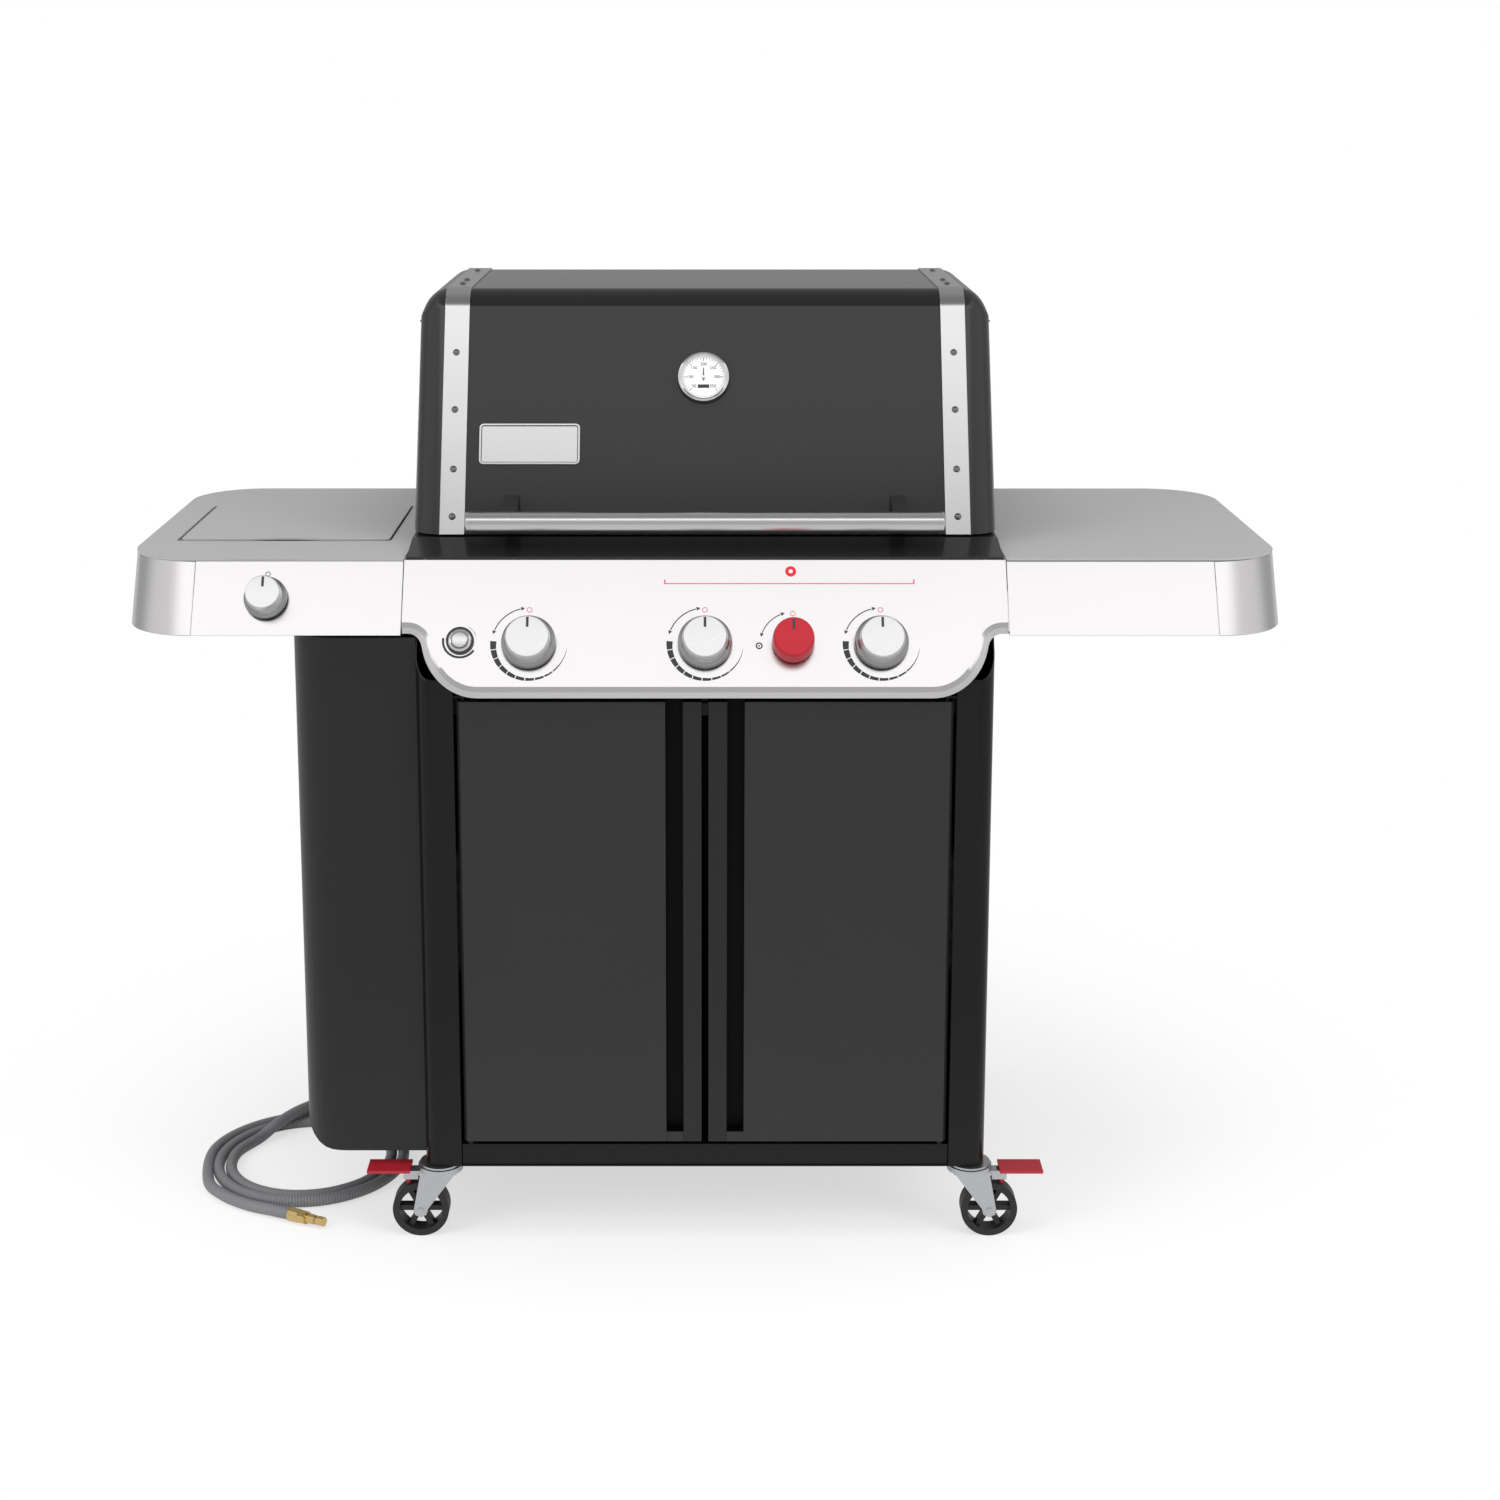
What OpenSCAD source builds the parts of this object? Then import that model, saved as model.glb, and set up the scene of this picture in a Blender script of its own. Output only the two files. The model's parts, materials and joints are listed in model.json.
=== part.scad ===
// Free-standing three-burner gas barbecue grill with a side burner, a closed cabinet and four casters.
// Origin: on the floor, midway across the two tables and midway front to back. +Z up, front towards -Y.

/* [Overall] */
// Width over both side tables
overall_w = 1524; // [1300:1:1700]
// Height of the table tops above the floor
table_z = 923; // [860:1:980]
// Height of the lid above its own bottom edge
lid_h = 315; // [250:1:380]

/* [Cabinet] */
// Cabinet width over the corner posts
cab_w = 752; // [700:1:820]
// Height of the underside of the cabinet above the floor
cab_z = 104; // [100:1:130]
// Width of the black side cover on the left
cover_w = 167; // [110:1:190]

/* [Cooking box and lid] */
// Width of the lid over its end castings
lid_w = 786; // [740:1:850]
// Diameter of the lid handle tube
handle_d = 30; // [22:1:36]
// Diameter of the thermometer bezel
thermo_d = 71; // [50:1:90]

/* [Controls] */
// Diameter of the gripping part of a burner knob
knob_d = 56; // [44:1:62]
// Height of a burner knob off the panel
knob_h = 36; // [28:1:44]
// Radial clearance of a running fit
run_fit = 0.05; // [0.02:0.01:0.1]

/* [Casters] */
// Caster wheel diameter
wheel_d = 76; // [70:1:82]
// Caster wheel width
wheel_w = 24; // [18:1:28]

/* [Hose] */
// Outside diameter of the gas hose
hose_d = 16; // [12:1:18]

/* [Hidden] */
$fn = 48;

// gap at a seam between two touching sheets
seam = 0.05;
half_w = overall_w / 2;
cab_x = cab_w / 2;
lid_x = lid_w / 2;
// sloped control face: 30 degrees from vertical, its top edge under the table top's front edge
face_a = 60;
face_y = -254;
face_run = 0.57735;
fascia_h = 91;
panel_drop = 149;
panel_lip = 17;
y_back = panel_drop * face_run - face_y;
knob_front = face_y - 100 * face_run - 0.866 * knob_h - 0.5 * (knob_d / 2 - 3);
panel_z0 = table_z - panel_drop - panel_lip;
box_z = table_z + 15;
lid_z = table_z + 18;
lid_top = lid_z + lid_h;
door_front = -323;
door_t = 20;
door_x = cab_x - 53.5;
door_z0 = cab_z + 36;
door_z1 = panel_z0 - 9;
pin_x = door_x - 8;
pin_y = door_front + 8.5;
hinge_y = 318;
hinge_z = lid_z + 7;
tray_z = table_z - 233;
swivel_x = cab_x - 19;
swivel_yf = -303;
swivel_yr = 236;
trail = 27;
grate_z = table_z - 28;
box_x = cab_x - 7;

BLACK = [0.07, 0.07, 0.075];
STEEL = [0.8, 0.8, 0.8];
IRON = [0.15, 0.15, 0.15];
ZINC = [0.7, 0.72, 0.74];

// ---- helpers: profiles drawn in (y, z) or (x, z) and swept across
module along_x(x0, x1) translate([x0, 0, 0]) rotate([90, 0, 90]) linear_extrude(x1 - x0) children();
module along_y(y0, y1) translate([0, y1, 0]) rotate([90, 0, 0]) linear_extrude(y1 - y0) children();
module both() {
    children();
    mirror([1, 0, 0]) children();
}
module box(x0, x1, y0, y1, z0, z1) translate([x0, y0, z0]) cube([x1 - x0, y1 - y0, z1 - z0]);
module rbox2(x0, x1, y0, y1, r) {
    translate([x0 + r, y0]) square([x1 - x0 - 2 * r, y1 - y0]);
    translate([x0, y0 + r]) square([x1 - x0, y1 - y0 - 2 * r]);
    for (x = [x0 + r, x1 - r]) for (y = [y0 + r, y1 - r]) translate([x, y]) circle(r);
}
// a place on the sloped control face: x across, z height; local +Z points out of the face
module on_face(x, z) translate([x, face_y - (table_z - z) * face_run, z]) rotate([face_a, 0, 0]) children();

// ---- cabinet
module bottom_panel() color(BLACK) difference() {
    union() {
        translate([0, 0, cab_z]) linear_extrude(2) post_outline();
        box(-door_x - 3.5, door_x + 3.5, -320, -290, cab_z + 2, cab_z + 31);
        box(-cab_x + 1.5, cab_x - 1.5, 256, 268.5, cab_z + 2, cab_z + 20);
    }
    box(-door_x - 4, door_x + 4, -318.5, -291.5, cab_z + 2, cab_z + 29.5);
    box(-cab_x + 3, cab_x - 3, 250, 267, cab_z + 2, cab_z + 21);
}
module post_outline() {
    translate([-cab_x + 20, door_front]) square([cab_w - 40, 60]);
    translate([-cab_x, door_front + 20]) square([cab_w, 268.5 - door_front - 20]);
    for (s = [-1, 1]) translate([s * (cab_x - 20), door_front + 20]) circle(20);
}

module side_panels() color(BLACK) both() {
    along_x(cab_x - 1.5, cab_x) polygon([[-280, cab_z + 2], [270, cab_z + 2], [270, table_z - 20],
        [-235, table_z - 20], [-280, table_z - 110]]);
    box(cab_x - 26, cab_x - 1.5, 268.5, 270, cab_z + 2, table_z - 202);
}

module back_panel() color(BLACK) difference() {
    box(-cab_x + 26, cab_x - 26, 268.5, 270, cab_z + 2, tray_z - 12);
    for (z = [cab_z + 60 : 40 : cab_z + 220]) for (x = [-200, 60]) box(x, x + 140, 268, 271, z, z + 8);
    translate([-290, 260, cab_z + 50]) rotate([-90, 0, 0]) cylinder(d = 20.2, h = 20);
}

module post_section() {
    difference() {
        union() {
            translate([door_x + 4, door_front]) square([cab_x - door_x - 24, 43]);
            translate([door_x + 4, door_front + 20]) square([cab_x - door_x - 4, 23]);
            translate([cab_x - 20, door_front + 20]) circle(20);
        }
        translate([door_x + 5.5, door_front + 1.5]) square([cab_x - door_x - 25.5, 43]);
        translate([door_x + 5.5, door_front + 20]) square([cab_x - door_x - 7, 24]);
        translate([cab_x - 20, door_front + 20]) circle(18.5);
    }
}
module front_frame() color(BLACK) {
    both() difference() {
        translate([0, 0, cab_z + 2]) linear_extrude(table_z - fascia_h - 4 - cab_z) post_section();
        // cut back behind the control panel's face, and round the igniter
        along_x(door_x, cab_x + 1) polygon([[door_front - 20, table_z], [face_y + 17, table_z],
            [face_y - 160 * face_run + 17, table_z - 160], [door_front - 20, table_z - 160]]);
        on_face(-ign_x, ign_z) translate([0, 0, -32]) cylinder(d = 34, h = 40);
    }
    // top rail behind the control panel's lip, with its down-turned flange
    box(-door_x - 4 + seam, door_x + 4 - seam, -321, -290, door_z1 + 5, door_z1 + 7);
    box(-door_x - 4 + seam, door_x + 4 - seam, -292, -290, door_z1 - 25, door_z1 + 5 - seam);
    // runners under the cooking box for the grease tray, hung from two cross bars
    for (y = [-120, 230]) box(-cab_x + 1.5, cab_x - 1.5, y, y + 20, table_z - 202, table_z - 200);
    both() {
        box(180.6, 182.6, -120, 250, tray_z - 2.4, table_z - 202 - seam);
        box(165, 180.6 - seam, -120, 250, tray_z - 2.4, tray_z - 0.4);
    }
    // magnetic catch
    box(-28, 28, -300, -292 - seam, door_z1 - 24, door_z1 - 8);
    both() {
        // side rails under the cooking box
        box(cab_x - 21.5, cab_x - 1.5, -280, 268.5, table_z - 200 + seam, table_z - 198);
        // hinge pins of the doors
        translate([pin_x, pin_y, cab_z + 31]) cylinder(d = 6, h = 11);
        translate([pin_x, pin_y, cab_z + 31]) cylinder(d = 10, h = 4.5);
        translate([pin_x, pin_y, door_z1 - 6]) cylinder(d = 6, h = 11 - seam);
    }
}

// door skins drawn in plan for the right-hand side: a broad panel, and along its free edge a
// finger channel between the panel and a narrow strip
channel_x0 = 28.8;
channel_x1 = 51.5;
module panel_plan(e) {
    polygon([[channel_x1 + e, door_front + e], [door_x - 4, door_front + e], [door_x - e, door_front + 4],
        [door_x - e, door_front + door_t - e], [channel_x1 + e, door_front + door_t - e]]);
}
module hollow_door(h) difference() {
    translate([0, 0, door_z0]) linear_extrude(h) children(0);
    translate([0, 0, door_z0 + 1.5]) linear_extrude(h - 3) children(1);
}
module door() {
    hole_d = 6 + 2 * run_fit;
    h = door_z1 - door_z0;
    difference() {
        union() {
            hollow_door(h) {
                panel_plan(0);
                translate([channel_x1 + 1.5, door_front + 1.5]) square([door_x - 6.5 - channel_x1, door_t - 3]);
            }
            translate([pin_x, pin_y, door_z0 + 1.5]) cylinder(d = 12, h = 9);
            translate([pin_x, pin_y, door_z1 - 10.5]) cylinder(d = 12, h = 9);
        }
        translate([pin_x, pin_y, door_z0 - 1]) cylinder(d = hole_d, h = 9);
        translate([pin_x, pin_y, door_z1 - 8]) cylinder(d = hole_d, h = 9);
    }
    hollow_door(h) {
        translate([4.5, door_front]) square([channel_x0 - 4.5, door_t]);
        translate([6, door_front + 1.5]) square([channel_x0 - 7.5, door_t - 3]);
    }
    // floor of the channel, and the block that closes it at the bottom
    box(channel_x0 + seam, channel_x1 - seam, door_front + door_t - 4, door_front + door_t,
        door_z0 + 14 + seam, door_z1);
    box(channel_x0 + seam, channel_x1 - seam, door_front, door_front + door_t, door_z0, door_z0 + 14);
}
module door_right() color(BLACK) door();
module door_left() color(BLACK) mirror([1, 0, 0]) door();

cover_t = 1.2;
module cover_outline(e) {
    x1 = -cab_x;
    x0 = x1 - cover_w;
    translate([x0 + 60, -300 + e]) square([x1 - x0 - 60 - e, 500 - 2 * e]);
    translate([x0 + e, -240]) square([x1 - x0 - 2 * e, 380]);
    translate([x0 + 60, -240]) circle(60 - e);
    translate([x0 + 60, 140]) circle(60 - e);
}
module tank_cover() color(BLACK) difference() {
    intersection() {
        translate([0, 0, cab_z + 12]) linear_extrude(table_z - fascia_h - 4 - cab_z - 12) cover_outline(0);
        along_y(-310, 210) cover_face(0);
    }
    intersection() {
        translate([0, 0, cab_z + 12 + cover_t]) linear_extrude(table_z - cab_z) cover_outline(cover_t);
        along_y(-310, 210) cover_face(cover_t);
    }
}
// the cover's front view: a rounded lower corner
module cover_face(e) {
    x1 = -cab_x - e;
    x0 = -cab_x - cover_w + e;
    z0 = cab_z + 12 + e;
    r = 40 - e;
    polygon(concat([[x1, z0], [x1, table_z], [x0, table_z], [x0, z0 + r]],
        [for (a = [195 : 15 : 270]) [x0 + r + r * cos(a), z0 + r + r * sin(a)]]));
}

// ---- cooking box, grates and burners
module cookbox_profile(e) {
    polygon([[-175 + e, box_z + e * 3], [-175 + e, table_z - 60], [-120 + e, table_z - 170 + e],
        [-60, table_z - 198 + e], [210, table_z - 198 + e], [268 - e, table_z - 170 + e],
        [292 - e, table_z - 60], [292 - e, box_z + e * 3]]);
}
module cookbox() color(IRON) {
    difference() {
        union() {
            along_x(-cab_x + 2, cab_x - 2) cookbox_profile(0);
            box(-lid_x + 2, lid_x - 2, -185, 298, box_z - 8, box_z);
            // apron down to the control panel's top edge
            along_x(-lid_x + 2, lid_x - 2) polygon([[-184, box_z], [face_y + 2.6, table_z + 2],
                [face_y + 2.6, table_z - 1], [-184, box_z - 4]]);
        }
        along_x(-box_x, box_x) cookbox_profile(5);
        // grease outlet and burner ports
        box(-150, 150, 20, 150, table_z - 200, table_z - 190);
        for (x = [-228, 0, 114, 228]) translate([x, -200, table_z - 108]) rotate([-90, 0, 0]) cylinder(d = 27, h = 75);
    }
    // ledges for the grates and for the heat bars
    for (y = [-171, 279]) box(-box_x - 1, box_x + 1, y, y + 9, grate_z - 20, grate_z - 12);
    for (y = [-166, 266]) box(-box_x - 1, box_x + 1, y, y + 20, table_z - 84, table_z - 78);
    box(-box_x - 1, box_x + 1, 258, 280, table_z - 127, table_z - 123);
    // lid hinge ears and pins
    both() {
        box(lid_x - 67, lid_x - 57, 297, hinge_y, box_z - 8, hinge_z);
        translate([lid_x - 67, hinge_y, hinge_z]) rotate([0, 90, 0]) cylinder(d = 18, h = 10);
        translate([lid_x - 67, hinge_y, hinge_z]) rotate([0, 90, 0]) cylinder(d = 8, h = 46);
    }
}

module cooking_grates() color(IRON) both() {
    for (y = [-168, 276]) box(1.5, box_x - 2, y, y + 10, grate_z - 12, grate_z);
    for (i = [0 : 13]) box(4 + i * 26, 11 + i * 26, -159, 277, grate_z - 12, grate_z);
    box(1.5, box_x - 2, 50, 62, grate_z - 12, grate_z - 4);
}

module heat_bars() color(STEEL) for (i = [-2 : 2]) translate([i * 138, 0, 0]) along_y(-158, 276)
    polygon([[-45, table_z - 78], [-42, table_z - 78], [0, table_z - 44], [42, table_z - 78],
        [45, table_z - 78], [45, table_z - 76.5], [0, table_z - 40.5], [-45, table_z - 76.5]]);

// burner tubes with a strap at the back end; the searing burner is shorter
burner_x = [-228, 0, 228, 114];
module burner_tubes() color(STEEL) for (x = burner_x) {
    y1 = x == 114 ? 108 : 268;
    difference() {
        translate([x, -222, table_z - 108]) rotate([-90, 0, 0]) cylinder(d = 26, h = y1 + 222);
        translate([x, -223, table_z - 108]) rotate([-90, 0, 0]) cylinder(d = 23, h = y1 + 221);
        for (y = [-130 : 30 : y1 - 20]) translate([x, y, table_z - 108]) rotate([0, 90, 0])
            cylinder(d = 3, h = 40, center = true);
    }
    box(x - 5, x + 5, y1 - 1.2, 272.3, table_z - 123, table_z - 115);
}

manifold_y = -262;
branch_y = -270;
branch_z = table_z - 73;
module gas_manifold() color(ZINC) {
    translate([-365, manifold_y, table_z - 108]) rotate([0, 90, 0]) cylinder(d = 18, h = 645);
    // riser and branch to the side burner
    translate([-356, manifold_y, table_z - 108]) rotate([atan2(manifold_y - branch_y, 35), 0, 0])
        cylinder(d = 10, h = norm([manifold_y - branch_y, 35]) - 5.3);
    translate([side_x - 10, branch_y, branch_z]) rotate([0, 90, 0]) cylinder(d = 10, h = -351 - side_x + 10);
}

// burner knob places: x across the face, height above the floor
knob_z = table_z - 100;
side_z = table_z - 48;
side_x = -571;
// a valve behind the face: a body round the stem and an arm, drawn as a child, to the gas pipe
module valve_body(x, z) on_face(x, z) difference() {
    union() {
        translate([0, 0, -28]) cylinder(d = 22, h = 25.9);
        children();
    }
    translate([0, 0, -16]) cylinder(d = 8 + 2 * run_fit, h = 20);
}
module gas_valves() color([0.7, 0.55, 0.25]) {
    difference() {
        for (x = burner_x) valve_body(x, knob_z) box(-6, 6, -6, 17.9, -50, -22);
        translate([-365, manifold_y, table_z - 108]) rotate([0, 90, 0]) cylinder(d = 18, h = 645);
    }
    difference() {
        valve_body(side_x, side_z) box(-6, 6, -19, 0, -28, -17);
        translate([side_x - 20, branch_y, branch_z]) rotate([0, 90, 0]) cylinder(d = 10, h = 40);
    }
}

// ---- valve stems and knobs, drawn on the sloped face
module stem(x, z) color(STEEL) on_face(x, z) {
    translate([0, 0, -13.5]) cylinder(d = 8, h = 15.5);
    difference() {
        translate([0, 0, 2]) cylinder(d = 8, h = 24);
        box(2.2, 6, -6, 6, 10, 30);
    }
}
module knob_bore(top) difference() {
    translate([0, 0, -1]) cylinder(d = 8 + 2 * run_fit, h = top + 1);
    box(2.5, 6, -6, 6, 15, top + 2);
}
module knob(x, z, d, h, skirt) on_face(x, z) difference() {
    union() {
        translate([0, 0, 6]) cylinder(d = skirt, h = 5);
        translate([0, 0, 11]) cylinder(d1 = d + 1, d2 = d - 2, h = h - 15);
        translate([0, 0, h - 4]) cylinder(d1 = d - 2, d2 = d - 6, h = 4);
        translate([0, 0, h - 2]) box(-1.5, 1.5, d / 2 - 16, d / 2 - 5, 0, 2.5);
    }
    knob_bore(31);
}
module knob_left() color([0.8, 0.8, 0.8]) knob(-228, knob_z, knob_d, knob_h, knob_d + 16);
module knob_middle() color([0.8, 0.8, 0.8]) knob(0, knob_z, knob_d, knob_h, knob_d + 16);
module knob_right() color([0.8, 0.8, 0.8]) knob(228, knob_z, knob_d, knob_h, knob_d + 16);
module knob_sear() color([0.8, 0.05, 0.1]) knob(114, knob_z, knob_d - 2, knob_h, knob_d);
module knob_side() color([0.8, 0.8, 0.8]) knob(side_x, side_z, knob_d - 12, knob_h - 2, knob_d);
module stem_left() stem(-228, knob_z);
module stem_middle() stem(0, knob_z);
module stem_right() stem(228, knob_z);
module stem_sear() stem(114, knob_z);
module stem_side() stem(side_x, side_z);

ign_x = -317;
ign_z = table_z - 97;
module igniter_module() color([0.12, 0.12, 0.12]) on_face(ign_x, ign_z) difference() {
    union() {
        translate([0, 0, -30]) cylinder(d = 30, h = 27.9);
        cylinder(d = 36, h = 4);
        translate([0, 0, -2.1]) cylinder(d = 26 - 0.2, h = 2.2);
    }
    translate([0, 0, -16]) cylinder(d = 22 + 2 * run_fit, h = 30);
}
module igniter_button() color(STEEL) on_face(ign_x, ign_z) {
    translate([0, 0, -10]) cylinder(d = 22, h = 17);
    translate([0, 0, 7]) cylinder(d1 = 22, d2 = 19, h = 1.5);
}

// ---- control panel: a folded sheet with curved lower corners and a lip
corner_x = 394;
module face_profile(a, b) {
    polygon([[face_y - 2 * face_run + a, table_z - 2],
        [face_y - panel_drop * face_run + a, table_z - panel_drop],
        [face_y - panel_drop * face_run + a, panel_z0], [face_y - panel_drop * face_run + b, panel_z0],
        [face_y - panel_drop * face_run + b, table_z - panel_drop],
        [face_y - 2 * face_run + b, table_z - 2]]);
}
function arc(cx, cz, r, a0, a1, n) = [for (i = [0 : n]) [cx + r * cos(a0 + (a1 - a0) * i / n),
    cz + r * sin(a0 + (a1 - a0) * i / n)]];
// half outline seen from the front: top corner, shoulder, S-curve, bottom
function panel_half(e) = concat([[0, table_z - 1], [corner_x - e, table_z - 1],
    [corner_x - e, table_z - fascia_h + e]],
    arc(corner_x - 8, table_z - fascia_h - 20, 20 + e, 90, 165, 5),
    arc(corner_x - 101, panel_z0 + 75, 75 - e, -15, -90, 8),
    [[0, panel_z0 + e]]);
module panel_front(e) {
    for (m = [0, 1]) mirror([m, 0]) translate([-0.01, 0]) polygon(panel_half(e));
}
module control_panel() color(STEEL) difference() {
    union() {
        intersection() {
            along_x(-corner_x, corner_x) face_profile(0, 2.3);
            along_y(-345, -240) panel_front(0);
        }
        intersection() {
            along_x(-corner_x, corner_x) face_profile(2.3, 16);
            along_y(-345, -240) difference() {
                panel_front(0);
                panel_front(3);
            }
        }
    }
    for (x = burner_x) on_face(x, knob_z) translate([0, 0, -10]) cylinder(d = 14, h = 20);
    on_face(ign_x, ign_z) translate([0, 0, -10]) cylinder(d = 26, h = 20);
}

// ---- side tables
table_x0 = corner_x + 0.5;
end_x = 667;
module table_plan(e, front, r) {
    x1 = half_w - e;
    x2 = half_w - r;
    translate([table_x0, front + e]) square([x2 - table_x0, 280 - 2 * e - front]);
    translate([table_x0, front + r]) square([x1 - table_x0, 185 - front - r]);
    translate([x2, front + r]) circle(r - e);
    translate([table_x0, 100]) square([half_w - 95 - table_x0, 180 - e]);
    translate([half_w - 95, 185]) circle(95 - e);
}
module end_block(e) hull() {
    translate([0, 0, table_z - fascia_h - e / 2]) linear_extrude(0.01) table_plan(e, -306.5, 120);
    translate([0, 0, table_z - 3.01 + e / 2]) linear_extrude(0.01) table_plan(e, face_y - 1.7, 92);
}
module table_fascias() color(STEEL) difference() {
    both() {
        along_x(table_x0, end_x - 0.3) polygon([[face_y - 3 * face_run, table_z - 3],
            [face_y - fascia_h * face_run, table_z - fascia_h],
            [face_y - fascia_h * face_run + 18, table_z - fascia_h],
            [face_y - fascia_h * face_run + 18, table_z - fascia_h + 2],
            [face_y - fascia_h * face_run + 3.5, table_z - fascia_h + 2],
            [face_y - 3 * face_run + 2.3, table_z - 3]]);
        box(table_x0, end_x - 0.3, 278, 280, table_z - 40, table_z - 3);
    }
    on_face(side_x, side_z) translate([0, 0, -10]) cylinder(d = 14, h = 20);
}
module table_ends() color(STEEL) both() intersection() {
    difference() {
        end_block(0);
        end_block(2);
    }
    box(end_x, half_w + 1, -310, 300, 0, table_z);
}
module table_top() translate([0, 0, table_z - 3]) linear_extrude(3) table_plan(0, face_y, 90);
module table_right() color([0.45, 0.45, 0.46]) table_top();
sb_x0 = -718;
sb_x1 = -428;
module table_left() color([0.5, 0.5, 0.5]) difference() {
    mirror([1, 0, 0]) table_top();
    translate([0, 0, table_z - 10]) linear_extrude(20) rbox2(sb_x0 - 1, sb_x1 + 1, -133, 131, 8);
}
module table_brackets() color(BLACK) both() {
    for (y = [-180, 200]) {
        box(cab_x, half_w - 30, y, y + 3, table_z - 60, table_z - 3);
        box(cab_x, half_w - 30, y + 3, y + 25, table_z - 60, table_z - 57);
        box(cab_x, cab_x + 3, y + 3, y + 40, table_z - 57, table_z - 22);
    }
}

// ---- side burner: a bowl hung under the table, its lid hinged along the outer edge
sb_pin_x = sb_x0 + 16;
sb_pin_z = table_z - 10;
module side_burner_bowl() color(STEEL) difference() {
    union() {
        translate([0, 0, table_z - 52]) linear_extrude(49) rbox2(sb_x0 + 24, sb_x1 - 16, -120, 118, 20);
        translate([0, 0, table_z - 4.5]) linear_extrude(1.5) difference() {
            rbox2(sb_x0 - 10, sb_x1 + 10, -142, 140, 10);
            rbox2(sb_x0, sb_x1 - 18, -119, 117, 6);
            rbox2(sb_x0, sb_pin_x + 12, -134, 132, 2);
        }
        for (y = [-104, 96]) box(sb_pin_x - 6, sb_x0 + 25, y, y + 8, table_z - 16, table_z - 4.5);
    }
    translate([0, 0, table_z - 50.5]) linear_extrude(60) rbox2(sb_x0 + 25.5, sb_x1 - 17.5, -118.5, 116.5, 18.5);
    translate([side_x, 0, table_z - 60]) cylinder(d = 40, h = 20);
    translate([sb_pin_x, -110, sb_pin_z]) rotate([-90, 0, 0]) cylinder(d = 6 + 2 * run_fit, h = 220);
}
module side_burner_head() color(IRON) translate([side_x, 0, table_z - 70]) {
    cylinder(d = 38, h = 34);
    translate([0, 0, 19.5]) cylinder(d = 52, h = 3);
    translate([0, 0, 34]) cylinder(d = 84, h = 8);
    translate([0, 0, 42]) cylinder(d1 = 84, d2 = 70, h = 3);
}
module side_burner_grate() color(IRON) translate([side_x, 0, 0]) {
    translate([0, 0, table_z - 24]) difference() {
        cylinder(d = 190, h = 6);
        translate([0, 0, -1]) cylinder(d = 176, h = 8);
    }
    for (a = [0 : 90 : 270]) rotate([0, 0, a]) {
        box(24, 112, -4, 4, table_z - 19, table_z - 10);
        box(104, 110, -4, 4, table_z - 50.5, table_z - 18);
    }
}
module side_burner_lid() color([0.5, 0.5, 0.5]) {
    difference() {
        translate([0, 0, table_z - 0.2]) linear_extrude(2.5) rbox2(sb_x0 + 6, sb_x1 - 1, -131, 129, 6);
        translate([side_x, -332, table_z - 5]) cylinder(r = 207, h = 20, $fn = 180);
    }
    translate([sb_pin_x, -112, sb_pin_z]) rotate([-90, 0, 0]) cylinder(d = 6, h = 222);
    for (y = [-80, 0, 60]) box(sb_pin_x - 2, sb_pin_x + 2, y, y + 20, sb_pin_z, table_z);
}

// ---- lid
function lid_outline(e) = [[-179 + e, lid_z], [-51 + e * 0.9, lid_top - 30], [-39 + e, lid_top - 1 - e],
    [300, lid_top - e], [330 - e, lid_top - 16], [y_back - e, lid_top - 40], [y_back - e, lid_z]];
module lid_profile(e) polygon(lid_outline(e));
module lid_shell() color(BLACK) difference() {
    along_x(-340, 340) lid_profile(0);
    translate([0, 0, -1]) along_x(-342, 342) lid_profile(1.6);
    on_lid(-2, 199) translate([0, 0, -10]) cylinder(d = 12, h = 20);
}
lid_face_a = 90 - atan2(128, lid_h - 30);
// a place on the lid's front: x across, height above the lid's bottom edge
module on_lid(x, h) translate([x, -179 + h * 128 / (lid_h - 30), lid_z + h]) rotate([lid_face_a, 0, 0]) children();
module end_front(e) {
    r = 60 - e;
    translate([300, lid_z - 10]) square([lid_x - e - 300, lid_h + 10 - 60]);
    translate([300, lid_z - 10]) square([lid_x - 60 - 300, lid_h + 10 - e]);
    translate([lid_x - 60, lid_top - 60]) circle(r);
}
module lid_end() difference() {
    intersection() {
        along_x(340, lid_x) lid_profile(0);
        along_y(-200, 345) end_front(0);
    }
    translate([0, 0, -0.5]) intersection() {
        along_x(339, lid_x) lid_profile(4);
        along_y(-200, 345) end_front(4);
    }
}
module lid_end_right() color(BLACK) {
    lid_end();
    lid_knuckle();
    rack_boss();
}
module lid_end_left() color(BLACK) mirror([1, 0, 0]) {
    lid_end();
    lid_knuckle();
    rack_boss();
}
module rack_boss() difference() {
    box(342, 356, rack_y - 8, y_back - 3, rack_z - 7, rack_z + 7);
    translate([330, rack_y, rack_z]) rotate([0, 90, 0]) cylinder(d = 7 + 2 * run_fit, h = 40);
}
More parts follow.
